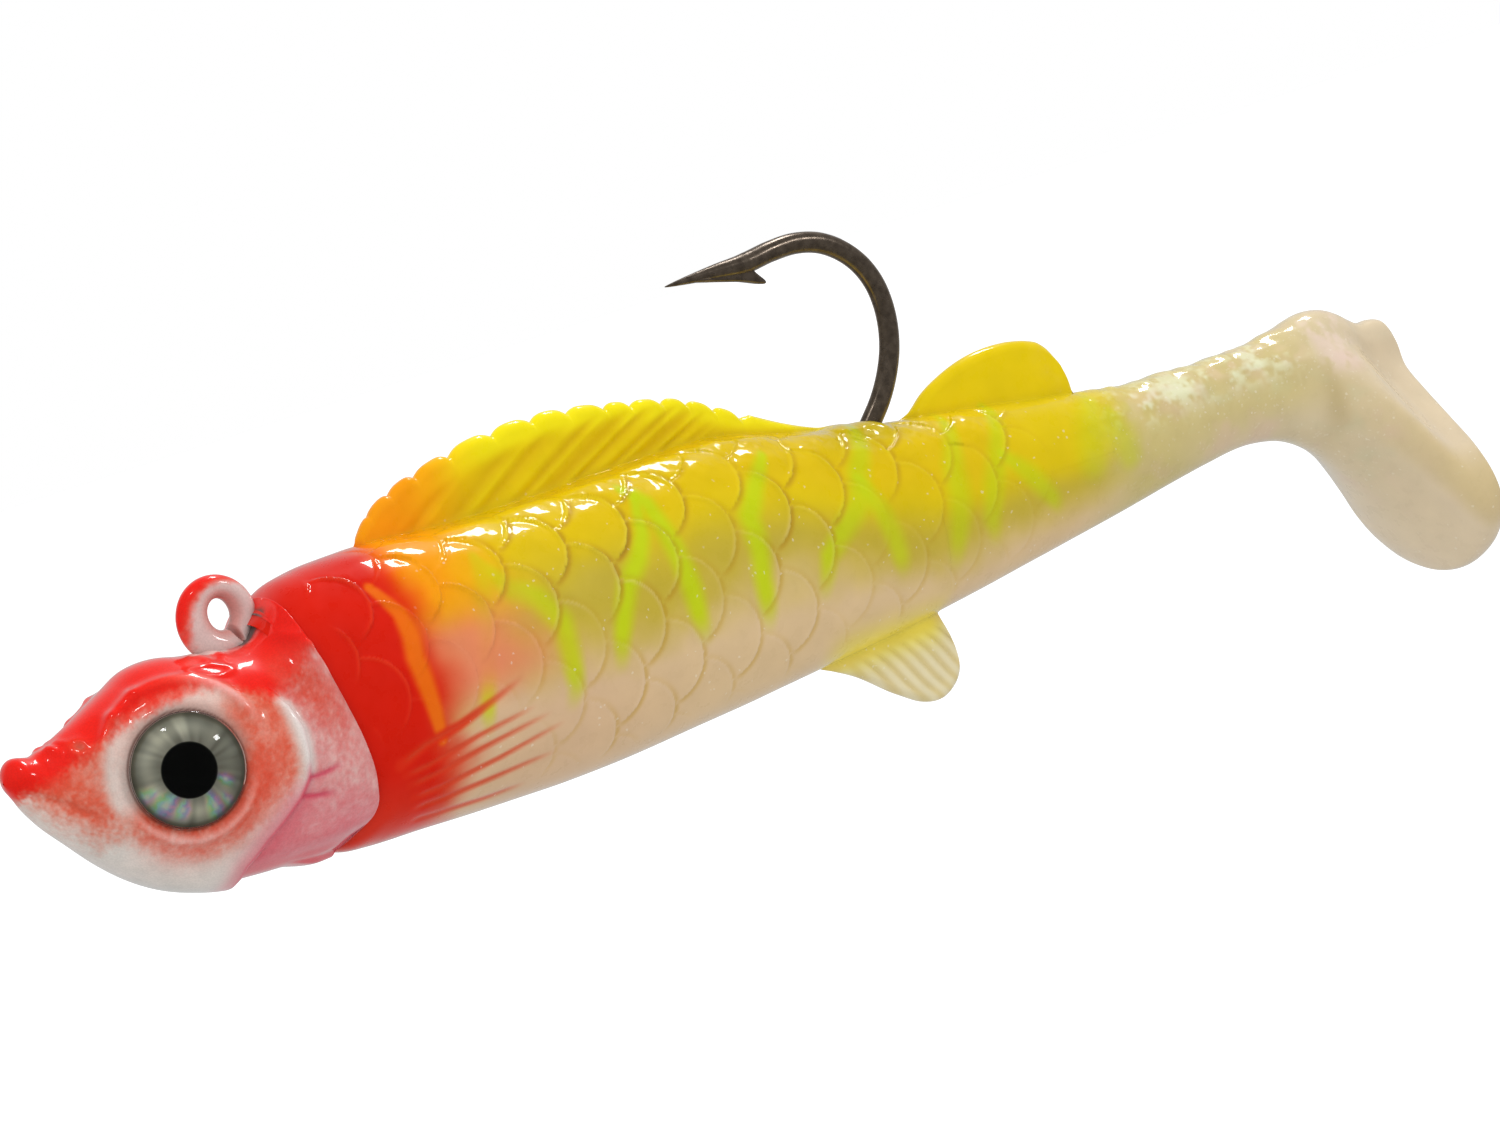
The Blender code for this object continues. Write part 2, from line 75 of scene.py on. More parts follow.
# station, top, bottom, half width
HEAD_SECTIONS = [
    (0.0, 1.80, 1.72, 0.02), (0.15, 2.22, 1.30, 0.48), (0.50, 2.55, 0.52, 0.92), (1.10, 2.62, -0.50, 1.22),
    (2.20, 2.70, -1.80, 1.70), (3.30, 3.10, -3.02, 2.22), (4.60, 3.62, -4.14, 2.85),
    (6.00, 4.22, -4.98, 3.42), (7.20, 4.72, -5.44, 3.84), (8.40, 4.80, -5.75, 4.16),
    (9.60, 4.54, -5.88, 4.40), (11.00, 4.32, -5.98, 4.62), (12.30, 4.26, -6.04, 4.78),
    (12.95, 4.52, -6.04, 4.88), (13.45, 5.05, -6.02, 4.93), (13.95, 5.88, -6.00, 4.96),
]
HEAD_ROWS, HEAD_COLUMNS = 250, 140
HEAD_END = 13.95
HEAD_LIP = [(0.06, 0.04), (0.08, 0.14), (0.02, 0.26), (-0.2, 0.42), (-0.6, 0.55)]   # behind the end, inwards
LIP_DEPTH = 5.0                          # the inward step that would bring the lip to the axis
GILL_START, BODY_FRONT, GILL_FADE = 7.5, 14.0, 21.0
# height, how far the gills' edge lies behind its station
GILL_EDGE = [
    (-6.6, -0.45), (-6.0, -0.25), (-5.3, 0.45), (-4.4, 1.12), (-3.4, 1.12), (-1.4, 0.78), (0.5, 0.42),
    (2.2, 0.14), (4.0, 0.0), (5.9, 0.2), (6.8, 0.3),
]
# station, top, bottom, half width, share of the paddle's own outline
BODY_SECTIONS = [
    (13.10, 4.90, -5.00, 4.00, 0), (13.80, 5.50, -5.55, 4.45, 0), (14.90, 6.20, -6.00, 4.74, 0),
    (16.00, 6.42, -6.12, 4.86, 0), (19.00, 6.56, -6.26, 4.95, 0), (24.00, 6.28, -6.44, 4.95, 0),
    (29.00, 6.18, -6.46, 4.80, 0), (34.00, 6.20, -6.20, 4.50, 0), (39.00, 6.08, -5.90, 4.10, 0),
    (44.00, 4.95, -5.50, 3.65, 0), (49.00, 4.05, -5.04, 3.20, 0), (54.00, 3.36, -4.45, 2.72, 0),
    (59.00, 2.56, -3.84, 2.30, 0), (62.00, 2.14, -3.44, 2.08, 0), (66.00, 1.96, -2.88, 1.85, 0),
    (69.00, 1.92, -2.74, 1.78, 0), (71.20, 2.02, -3.20, 1.98, 0.05), (72.80, 2.26, -4.15, 2.46, 0.2),
    (74.20, 2.50, -5.60, 3.10, 0.4), (75.30, 2.38, -7.30, 3.72, 0.62), (76.20, 1.95, -9.20, 4.20, 0.82),
    (76.80, 1.50, -10.70, 4.50, 0.96), (77.25, 1.20, -11.50, 4.64, 1), (77.60, 1.10, -11.90, 4.70, 1),
    (78.10, 1.10, -12.00, 4.72, 1), (78.60, 1.00, -11.85, 4.64, 1), (78.86, 0.70, -11.40, 4.30, 1),
    (78.94, -0.20, -10.60, 3.70, 1), (78.96, -2.50, -8.50, 2.20, 1), (78.97, -5.55, -5.65, 0.02, 1),
]
BODY_ROWS, BODY_COLUMNS = 1000, 176
ROW_WEIGHTS = (1, 0.6, 0.5, 0.8, 0, 0.9, 0.7)    # how much each column of the rows draws rows together
SECTION_STEPS = 420
PADDLE_LEAN = 0.085
# share of the height from the top, share of the half width
PADDLE_OUTLINE = [
    (0.0, 0.0), (0.015, 0.12), (0.07, 0.18), (0.2, 0.21), (0.31, 0.40), (0.43, 0.63), (0.56, 0.87),
    (0.69, 1.0), (0.81, 0.96), (0.91, 0.72), (0.975, 0.38), (1.0, 0.0),
]
# edges of the fins: station, height
FRONT_FIN = [
    (19.5, 6.45), (19.8, 6.7), (20.9, 7.75), (22.5, 8.5), (24.6, 9.05), (27.3, 9.5), (31.3, 9.55),
    (35.1, 8.95), (38.3, 8.2), (41.2, 6.75), (43.5, 5.55), (46.4, 4.4),
]
REAR_FIN = [
    (49.6, 3.9), (50.4, 4.15), (51.4, 4.78), (52.8, 5.36), (54.4, 5.75), (56.4, 5.82), (57.7, 5.62),
    (58.6, 5.2), (59.2, 4.5), (59.42, 3.6), (59.5, 2.4),
]
ANAL_SHEAR = 0.35        # how far the anal fin leans back for its depth
ANAL_FIN = [
    (41.2, -5.6), (42.9, -6.66), (44.33, -8.15), (45.27, -8.85), (46.0, -9.0), (47.02, -8.7), (47.86, -8.0),
    (48.19, -7.2), (48.3, -5.0),
]
NO_FIN_ABOVE, NO_FIN_BELOW = -99, 99
FIN_NOTCHES = [
    19.7, 20.9, 22.2, 23.72, 25.74, 28.2, 30.38, 32.31, 34.31, 35.67, 37.32, 38.59, 39.9, 41.11, 46.4,
]
LOBE_DEPTH = 0.34
RAY_FEET = [15.9, 17.9, 19.9, 21.9, 23.95, 26.0, 27.8, 29.5, 31.1, 32.7, 34.3, 35.9, 37.4, 38.9, 40.4]
FIN_HALF, FIN_ROUND, FIN_FLARE = 0.42, 0.5, 0.07
FILLET_POWER = 3.2

EYE_STATION, EYE_WIDTH, EYE_TURN = 6.8, 3.42, 20.0
EYE_RADIUS, EYE_DOME, EYE_RIM = 2.5, 1.2, 0.15
SEAT_RADIUS = 2.6
LENS_RIM = [(0.02, 0.11), (0.01, 0.05), (-0.03, 0.0)]    # past the eye's radius, height
IRIS_RADIUS, IRIS_TOP, IRIS_SINK = 2.46, 0.62, 0.5
PUPIL_EDGE = (1.19, 1.24)
# painted highlights on the foil: white glints with rainbow fringes
IRIS_GLINTS = [                     # turn, its spread, radius, its spread, strength
    (3.42, 0.13, 2.12, 0.30, 0.8), (3.82, 0.20, 1.80, 0.45, 1.0), (4.22, 0.13, 1.72, 0.30, 0.9),
    (4.98, 0.13, 1.90, 0.50, 1.0), (5.28, 0.08, 2.12, 0.25, 0.7), (5.66, 0.13, 1.62, 0.28, 0.9),
    (2.55, 0.35, 1.95, 0.25, 0.30), (1.25, 0.45, 1.90, 0.25, 0.30), (0.20, 0.30, 2.05, 0.25, 0.22),
]

RING_REACH, RING_HALF_WIDTH = 1.95, 0.6
RING_HOLE, RING_HOLE_HALF = (12.32, 5.66), (0.60, 0.70)
SLIT_TURN, SLIT_DEPTH = 5.1, 0.75        # where round the ring its bent end meets the foot

WIRE_RADIUS, TIP_RADIUS = 0.5, 0.02
SHANK_HEIGHT = 0.9
HOOK_ROUTE = [
    (12.15, 4.2), (12.15, 2.3), (12.45, 1.35), (13.3, SHANK_HEIGHT), (20.0, SHANK_HEIGHT), (30.0, 1.0),
    (38.0, 1.1), (42.5, 1.35), (45.2, 2.1), (46.8, 3.05), (48.05, 4.15), (49.12, 5.2), (49.89, 6.25),
    (50.4, 7.25), (50.7, 8.3), (50.79, 9.3), (50.64, 10.43), (50.18, 11.43), (49.42, 12.28), (48.33, 12.96),
    (47.0, 13.29), (45.5, 13.28), (44.0, 13.12), (42.4, 13.17), (40.9, 13.2), (39.45, 13.22),
]
POINT_LENGTH = 4.6
BARB = [(40.6, 13.1), (43.3, 12.42), (44.85, 12.0), (44.35, 12.72), (44.2, 13.1)]
BARB_RINGS = [                      # width, share of the outline
    (-0.22, 0.01), (-0.22, 0.72), (-0.12, 0.97), (0.0, 1.0), (0.12, 0.97), (0.22, 0.72), (0.22, 0.01),
]

# the soft body's skin: its pieces and the seams between them
SKIN_NAMES = ["skin_gills", "skin_shoulders", "skin_back", "skin_rear", "skin_stem", "skin_paddle"]
SKIN_ENDS = [24.0, 35.0, 46.0, 57.2, 67.8]

SCALE_PITCH, SCALE_ROW, SCALE_RADIUS = 3.45, 2.4, 2.05
SCALE_START = 0.3
FAR = 9.0                                # a gap too wide for any rim or groove

RED = (0.88, 0.10, 0.0)
HEAD_RED = (0.94, 0.09, 0.02)
YELLOW = (0.91, 0.80, 0.02)
OLIVE = (0.80, 0.71, 0.24)
CREAM = (0.90, 0.78, 0.60)
PEARL = (0.87, 0.80, 0.65)
LIME = (0.79, 0.87, 0.06)
AMBER = (0.74, 0.56, 0.14)

# stations where a part of the body rises, is full, starts to fade and has ended
FLANK_SCALES = (15.0, 16.0, 53.0, 58.5)
FURROWS = (20.2, 21.6, 37.5, 40.0)
FOOT_CREASE = (20.5, 22.0, 43.0, 45.0)
SHOULDERS = (17, 20, 52, 56)
STEM_LUMPS = (56, 60, 71.5, 74)
STEM_PAINTED_HIGHLIGHT = (58.5, 62, 71.5, 73.5)
PADDLE_NECK = (72.6, 73.6, 74.8, 76.4)
ANAL_FIN_BACK = (40, 42.5, 47.5, 49.0)
ANAL_FIN_LEAN = (41.0, 42.0, 49.0, 50.0)
ANAL_FIN_SPAN = (40, 51)

HOOK_EXIT = (46.5, 3.6)                  # station and height of the dimple where the hook comes out
HEAD_GRAIN = [(0.14, 1.0), (0.4, 6.0), (1.7, 8.0)]     # fine, middle and cloudy: size and shift

# painted streaks on the flanks: half width, then (station, height) points
LIME_STREAKS = [
    (0.42, [(23.4, 4.6), (23.0, 3.4), (22.3, 2.1), (21.8, 0.6), (21.2, -1.4), (21.0, -3.2)]),
    (0.55, [(23.4, 4.4), (24.1, 2.8), (25.2, 2.0), (25.9, 0.7), (25.9, -0.7), (25.9, -2.2), (25.3, -3.4)]),
    (0.45, [(32.4, 4.6), (31.8, 3.2), (31.0, 2.2), (29.9, 1.3), (29.3, 0.3), (28.8, -0.8), (28.3, -2.6)]),
    (0.5, [(32.2, 5.2), (32.9, 4.3), (33.0, 3.0), (33.1, 1.6), (33.2, 0.3), (33.2, -1.0), (33.4, -2.8)]),
    (0.55, [(40.0, 4.6), (38.6, 3.4), (37.6, 2.3), (37.5, 0.9), (37.2, -0.5), (37.1, -3.3)]),
    (0.5, [(46.2, 4.2), (44.5, 2.4), (43.9, 1.2), (42.5, 0.3), (41.2, -0.6), (40.3, -2.8)]),
    (0.42, [(44.4, 2.2), (44.9, 0.6), (45.2, -0.9), (45.5, -3.0)]),
    (0.45, [(51.2, 3.4), (49.9, 1.2), (49.5, -0.6), (49.0, -1.9), (48.4, -3.6)]),
    (0.42, [(54.0, 3.2), (52.8, 1.3), (51.8, -0.2), (51.2, -1.6), (51.3, -3.2)]),
    (0.35, [(52.9, 1.1), (54.2, -0.4), (55.8, -2.6)]),
    (0.5, [(59.6, 2.0), (58.9, 1.0), (58.2, -0.4), (57.6, -2.0)]),
    (0.4, [(60.2, 1.2), (60.1, 0.4), (60.3, -0.8), (60.6, -2.0)]),
]
ORANGE_STREAKS = [(0.62, [(17.9, 4.8), (18.5, 3.4), (18.5, 2.3), (18.3, 1.4), (18.4, 0.0), (18.6, -2.4)])]
PECTORAL_RAYS = [
    (0.42, [(16.4, -2.9), (17.7, -2.4), (19.6, -2.06), (21.9, -1.4), (23.5, -0.9)]),
    (0.26, [(16.6, -3.4), (17.8, -3.3), (20.5, -2.8), (23.8, -2.4)]),
    (0.26, [(16.8, -3.9), (18.2, -3.8), (20.6, -3.4), (24.6, -2.9)]),
    (0.24, [(17.0, -4.5), (18.4, -4.45), (21.5, -4.1), (25.3, -3.5)]),
    (0.24, [(17.0, -5.0), (18.6, -5.0), (20.8, -4.9), (24.8, -4.7)]),
    (0.2, [(17.0, -5.5), (18.6, -5.6), (21.0, -5.7), (23.4, -5.7)]),
]

# lines on the head's sides: (station, height)
BROW = [
    (0.0, 0.9), (1.2, 1.2), (2.4, 1.5), (3.4, 1.9), (4.8, 2.5), (5.8, 2.85), (6.9, 3.05), (8.2, 3.15),
    (9.5, 2.95), (10.6, 2.35), (11.4, 1.8), (12.2, 1.9), (13.0, 2.5), (13.8, 3.2), (15.0, 3.6),
]
BLUSH = [
    (0.0, 1.6), (0.6, 0.6), (1.4, -0.5), (2.3, -1.4), (2.9, -2.0), (3.7, -2.0), (4.7, -2.7), (6.2, -3.4),
    (7.8, -3.6), (9.0, -3.3), (10.4, -2.7), (11.4, -1.9), (15.0, -1.2),
]
PREOPERCLE = [
    (11.4, 2.2), (11.9, 1.2), (12.1, 0.1), (12.0, -1.0), (11.8, -2.1), (11.3, -2.8), (10.5, -3.5),
    (9.6, -4.2), (8.8, -5.0), (8.6, -5.9),
]
NOSTRIL = (3.15, 2.25)
MOUTH = [(0.15, 1.1), (0.9, 0.75), (1.8, 0.1), (2.7, -0.7), (3.4, -1.5)]
HEAD_BUMPS = [                      # station, height, rise, spread
    (2.25, 2.5, 0.16, 0.26), (2.75, 2.68, 0.07, 0.2), (4.9, 2.95, 0.12, 0.33), (6.2, 3.55, 0.12, 0.33),
    (0.7, 1.9, 0.06, 0.3), (13.6, 4.0, 0.14, 0.3), (13.9, 3.4, 0.10, 0.2),
    (10.1, 4.1, 0.10, 0.3), (11.0, 4.15, 0.08, 0.25),
]
CREASES = [[(11.8, -2.1), (12.6, -2.1), (13.7, -1.9)], [(11.4, -2.8), (12.2, -3.0), (13.2, -3.1)]]

FOCUS = Vector((0.02735, 0.0, -0.0055))
CAMERA_YAW, CAMERA_RISE, CAMERA_ROLL = math.radians(33), math.radians(4), math.radians(17)
CAMERA_DISTANCE, CAMERA_LENS = 0.3, 156.96
LAMPS = [         # name, place across, up and towards the camera, size, power, what it lights
    ("above", (0.06, 0.55, -0.22), (0.16, 0.07), 0.66, "all"),
    ("right", (0.44, 0.37, 0.155), (0.09, 0.06), 0.30, "hard"),
    ("left", (-0.20, 0.48, 0.30), (0.06, 0.04), 0.14, "hard"),
]
SKY = (-0.5, 0.75, 0.86, 1.14)           # two heights, and the sky's soft light at each
BACKDROP = (0.2, 0.95, 0.03, 0.55)       # the backdrop's rim and middle, and how bright reflections are there
FLOOR_HALF, FLOOR_HEIGHT = 3.0, -0.09


# ---------------------------------------------------------------- numbers

def place(station, width, height):
    """Points of the design in the row frame, in metres."""
    return np.stack([(station - TIE_STATION) * MM, width * MM, (height - TIE_HEIGHT) * MM], axis=-1)


def smooth_table(table, at):
    """The columns of a table after its first, read at the places `at` of the first by a smooth curve."""
    rows = np.array(table, float)
    x, y = rows[:, 0], rows[:, 1:]
    slopes = np.gradient(y, x, axis=0)
    at = np.clip(at, x[0], x[-1])
    i = np.clip(np.searchsorted(x, at) - 1, 0, len(x) - 2)
    width = (x[i + 1] - x[i])[:, None]
    t = ((at - x[i]) / (x[i + 1] - x[i]))[:, None]
    rise = 3 * t**2 - 2 * t**3
    return (
        y[i] * (1 - rise) + y[i + 1] * rise
        + width * slopes[i] * t * (1 - t) ** 2 - width * slopes[i + 1] * t**2 * (1 - t)
    )


def by_length(table, count):
    """A table's rows on a smooth curve through them, spread evenly by its length."""
    given = np.array(table, float)
    steps = np.sqrt((np.diff(given, axis=0) ** 2).sum(axis=1))
    length = np.concatenate([[0], np.cumsum(steps)])
    return smooth_table(np.column_stack([length, given]), np.linspace(0, length[-1], count))


def eased(value, low, high):
    """0 below one value, 1 above another and a smooth rise between them."""
    share = np.clip((value - low) / (high - low), 0, 1)
    return share * share * (3 - 2 * share)


def between(value, start, full, fade, end):
    """1 between two values, with a smooth rise before them and a smooth fall after them."""
    return eased(value, start, full) * (1 - eased(value, fade, end))


def bell(value, middle, spread):
    """1 at the middle, falling smoothly to both sides."""
    return np.exp(-(((value - middle) / spread) ** 2))


def line_at(line, station):
    """Height of a line of (station, height) points at given stations."""
    x, y = np.array(line).T
    return np.interp(station, x, y)


def line_x(line, height):
    """Station of a line of (station, height) points at given heights, for lines that only go down."""
    x, y = np.array(line).T
    return np.interp(-height, -y, x)


def from_line(line, station, height):
    """Distance of each point from a line, and the share of its length where it is nearest."""
    points = np.array(line, float)
    steps = np.sqrt((np.diff(points, axis=0) ** 2).sum(axis=1))
    reached = np.concatenate([[0], np.cumsum(steps)])
    best = np.full(station.shape, 1e9)
    share = np.zeros(station.shape)
    for a, b, start, step in zip(points, points[1:], reached, steps):
        along = ((station - a[0]) * (b[0] - a[0]) + (height - a[1]) * (b[1] - a[1])) / step**2
        along = np.clip(along, 0, 1)
        gap = np.hypot(station - a[0] - along * (b[0] - a[0]), height - a[1] - along * (b[1] - a[1]))
        nearer = gap < best
        best = np.where(nearer, gap, best)
        share = np.where(nearer, (start + along * step) / reached[-1], share)
    return best, share


LATTICE = np.random.default_rng(7).random((32, 32, 32))


def noise(x, y, z, size, shift=0.0):
    """Smooth noise from 0 to 1 with lumps of a given size."""
    total = 0.0
    points = [axis / size + shift + 40.0 for axis in (x, y, z)]
    cells = [np.floor(p).astype(int) for p in points]
    shares = [(p - c) ** 2 * (3 - 2 * (p - c)) for p, c in zip(points, cells)]
    for i in (0, 1):
        for j in (0, 1):
            for k in (0, 1):
                weight = 1.0
                for corner, share in zip((i, j, k), shares):
                    weight = weight * (share if corner else 1 - share)
                total = total + weight * LATTICE[tuple((c + o) % 32 for c, o in zip(cells, (i, j, k)))]
    return total


def linear(colour):
    """A colour as seen on a screen, turned into the light it stands for."""
    c = np.array(colour, float)
    return np.where(c <= 0.04045, c / 12.92, ((c + 0.055) / 1.055) ** 2.4)


def tint(base, colour, weight):
    """Colours mixed towards another by a weight at each point."""
    return base + (np.array(colour, float) - base) * np.clip(weight, 0, 1)[..., None]


# ---------------------------------------------------------------- meshes

def show(thing, name):
    """An object in the scene that shows a camera, a light or a mesh."""
    made = bpy.data.objects.new(name, thing)
    bpy.context.scene.collection.objects.link(made)
    return made


def grid_normals(points):
    """Outward unit normals of a grid of points whose rows are closed rings."""
    along = np.gradient(points, axis=0)
    across = np.roll(points, -1, axis=1) - np.roll(points, 1, axis=1)
    normal = np.cross(along, across)
    return normal / np.maximum(np.linalg.norm(normal, axis=-1, keepdims=True), 1e-15)


def grid_object(name, points, material, paint=None, masks=None, normals=None):
    """A mesh object from rings of points, with its material, and its colours and masks at each point."""
    rows, columns = points.shape[:2]
    index = np.arange(rows * columns).reshape(rows, columns)
    index = np.concatenate([index, index[:, :1]], axis=1)
    quads = np.stack([index[:-1, :-1], index[1:, :-1], index[1:, 1:], index[:-1, 1:]], axis=-1).reshape(-1, 4)
    mesh = bpy.data.meshes.new(name)
    mesh.vertices.add(rows * columns)
    mesh.vertices.foreach_set("co", points.astype(np.float32).ravel())
    mesh.loops.add(quads.size)
    mesh.loops.foreach_set("vertex_index", quads.astype(np.int32).ravel())
    mesh.polygons.add(len(quads))
    mesh.polygons.foreach_set("loop_start", np.arange(0, quads.size, 4, dtype=np.int32))
    mesh.update(calc_edges=True)
    mesh.shade_smooth()
    if normals is not None:
        mesh.normals_split_custom_set_from_vertices(normals.reshape(-1, 3).tolist())
    if paint is not None:
        colours = np.concatenate([linear(paint), np.ones((*paint.shape[:2], 1))], axis=-1)
        layer = mesh.color_attributes.new("Paint", "FLOAT_COLOR", "POINT")
        layer.data.foreach_set("color", colours.astype(np.float32).ravel())
    for mask, values in (masks or {}).items():
        layer = mesh.attributes.new(mask, "FLOAT", "POINT")
        layer.data.foreach_set("value", values.astype(np.float32).ravel())
    mesh.materials.append(material)
    return show(mesh, name)


def mirrored(width, rest):
    """Closed rings from their right halves: down one side and up the other."""
    other = -width[:, -2:0:-1]
    return np.concatenate([width, other], axis=1), np.concatenate([rest, rest[:, -2:0:-1]], axis=1)


def even_columns(width, height, count):
    """Each row's half section with its points spread evenly, and their girth above the body's axis."""
    steps = np.hypot(np.diff(width, axis=1), np.diff(height, axis=1))
    length = np.concatenate([np.zeros((len(width), 1)), np.cumsum(steps, axis=1)], axis=1)
    share = np.linspace(0, 1, count)
    out = np.empty((3, len(width), count))
    for i, reach in enumerate(length):
        at = share * reach[-1]
        out[0, i] = np.interp(at, reach, width[i])
        out[1, i] = np.interp(at, reach, height[i])
        axis = np.interp(0.0, -height[i], reach)
        out[2, i] = axis - at
    return out


def half_oval(top, bottom, half_width, height):
    """Half width of a fish's section at each height."""
    middle = bottom + 0.52 * (top - bottom)
    reach = np.where(height > middle, top - middle, middle - bottom)
    across = np.clip((height - middle) / np.maximum(reach, 1e-6), -1, 1)
    return half_width * (1 - across**2) ** 0.46


def half_paddle(top, bottom, half_width, height):
    """Half width of the paddle at each height."""
    share, width = np.array(PADDLE_OUTLINE).T
    turn = np.arccos(1 - 2 * share)
    at = np.arccos(np.clip(1 - 2 * (top - height) / np.maximum(top - bottom, 1e-6), -1, 1))
    read = smooth_table(np.column_stack([turn, width]), at.ravel())[:, 0].reshape(at.shape)
    return half_width * np.maximum(read, 0)


def section_heights(upper, lower):
    """Heights down each row's section, closer together at its top and its bottom."""
    turn = np.linspace(0, math.pi, SECTION_STEPS)[None, :]
    return (upper + lower) / 2 + (upper - lower) / 2 * np.cos(turn)


def section_rings(width, height, columns):
    """Rings of evenly spread points from half sections: their widths, heights and girths."""
    width[:, 0] = width[:, -1] = 0
    half_width, half_height, half_girth = even_columns(width, height, columns)
    _, girth = mirrored(half_width, half_girth)
    return *mirrored(half_width, half_height), girth


def gill_shift(height):
    """How far the gills' edge lies behind its station at each height."""
    return smooth_table(GILL_EDGE, height.ravel())[:, 0].reshape(height.shape)


def fin_line(edge, station, beyond, notches=()):
    """Height of a fin's edge at each station, or of the body where there is no fin."""
    line = by_length(edge, 900)
    order = np.argsort(line[:, 0])
    found = np.interp(station, line[order, 0], line[order, 1])
    if len(notches):
        lobe = np.interp(station, notches, np.arange(len(notches)))
        notch = (1 - np.abs(np.sin(math.pi * lobe))) ** 1.7
        last = notches[-2]
        deep = between(station, notches[0], notches[4], last, last + 0.7)
        found = found - LOBE_DEPTH * notch * (0.35 + 0.65 * deep) * (station < last + 0.6)
    inside = (station > edge[0][0]) & (station < edge[-1][0])
    return np.where(inside, found, beyond)


def fin_half(depth, shown):
    """Half thickness of a fin at a depth below its edge, none where little of the fin shows."""
    rounded = np.sqrt(1 - (1 - np.clip(depth / FIN_ROUND, 0, 1)) ** 2)
    return (FIN_HALF * rounded + FIN_FLARE * np.clip(depth, 0, 4)) * shown


# ---------------------------------------------------------------- soft body

def body_rows():
    """Rows of the body's sections with its fin edges, closer together where they change fast."""
    dense = by_length(BODY_SECTIONS, 9000)
    station, top, bottom = dense[:, 0], dense[:, 1], dense[:, 2]
    upper = np.maximum(top, fin_line(FRONT_FIN, station, NO_FIN_ABOVE, FIN_NOTCHES))
    upper = np.maximum(upper, fin_line(REAR_FIN, station, NO_FIN_ABOVE))
    lower = np.minimum(bottom, fin_line(ANAL_FIN, station, NO_FIN_BELOW))
    table = np.column_stack([dense, upper, lower])
    steps = np.diff(table, axis=0) * ROW_WEIGHTS
    length = np.concatenate([[0], np.cumsum(np.sqrt((steps**2).sum(axis=1)))])
    at = np.linspace(0, length[-1], BODY_ROWS)
    return np.column_stack([np.interp(at, length, column) for column in table.T])


def body_form():
    """The whole soft body as one grid: its places, its sections' measures and its girth at each point."""
    rows = body_rows()
    station, top, bottom, half_width, paddle, upper, lower = (rows[:, i:i + 1] for i in range(7))
    height = section_heights(upper, lower)
    oval = half_oval(top, bottom, half_width, height)
    blade = half_paddle(top, bottom, half_width, height)
    skin = np.maximum(oval * (1 - paddle) + blade * paddle, 0)
    above = fin_half(upper - height, eased(upper - top, 0.0, 0.5))
    below = fin_half(height - lower, eased(bottom - lower, 0.0, 0.6))
    fins = np.where(height > (top + bottom) / 2, above, below)
    width = (skin**FILLET_POWER + fins**FILLET_POWER) ** (1 / FILLET_POWER)
    width, height, girth = section_rings(width, height, BODY_COLUMNS)
    back = (1 - eased(station, BODY_FRONT, GILL_FADE)) * gill_shift(height) - PADDLE_LEAN * paddle * height
    deep = np.maximum(bottom - height, 0) * between(station, *ANAL_FIN_LEAN)
    form = {"station": station + back + ANAL_SHEAR * deep, "width": width, "height": height, "girth": girth}
    half = np.abs(width).max(axis=1, keepdims=True)
    rows = {"row": station, "top": top, "bottom": bottom, "paddle": paddle, "lower": lower, "half": half}
    return form | {name: np.broadcast_to(values, width.shape) for name, values in rows.items()}


def scales_near(station, girth):
    """The scales round each point: their middles, and each point's distance and turn about them."""
    line = np.round(girth / SCALE_ROW)
    for row in (-1, 0, 1):
        at = line + row
        shift = SCALE_START + SCALE_PITCH / 2 * np.mod(at, 2)
        for step in (-1, 0, 1, 2):
            middle = (np.floor((station - shift) / SCALE_PITCH) + step) * SCALE_PITCH + shift - SCALE_RADIUS
            wobble = 0.4 * np.sin(middle * 5.3 + at * 2.9)
            up = girth - at * SCALE_ROW - wobble
            yield middle, np.hypot(station - middle, up), np.arctan2(up, station - middle)


def scale_relief(station, girth):
    """Rims, grooves, the darker amber tint in the grooves and domes of scales that overlap towards the tail.
    """
    front = np.full(station.shape, np.inf)
    rim_gap = np.full(station.shape, FAR)
    rim_turn = np.zeros(station.shape)
    found = list(scales_near(station, girth))
    for middle, reach, turn in found:
        over = (reach < SCALE_RADIUS) & (middle < front)
        front = np.where(over, middle, front)
        rim_gap = np.where(over, SCALE_RADIUS - reach, rim_gap)
        rim_turn = np.where(over, turn, rim_turn)
    dome = 1 - np.clip((SCALE_RADIUS - rim_gap) / SCALE_RADIUS, 0, 1) ** 2
    groove_gap = np.full(station.shape, FAR)
    groove_turn = np.zeros(station.shape)
    for middle, reach, turn in found:
        outside = reach - SCALE_RADIUS
        ahead = (middle < front - 0.01) & (station > middle)
        nearer = ahead & (outside >= 0) & (outside < groove_gap)
        groove_gap = np.where(nearer, outside, groove_gap)
        groove_turn = np.where(nearer, turn, groove_turn)
    rim = bell(rim_gap, 0.07, 0.085) * eased(rim_turn, -1.35, -0.6) * (1 - 0.35 * eased(rim_turn, 0.9, 1.5))
    lower = eased(groove_turn, -1.5, -1.1) * (1 - 0.72 * eased(groove_turn, -0.1, 0.9))
    return rim, bell(groove_gap, 0.05, 0.16) * lower, bell(groove_gap, 0.09, 0.15) * lower, dome


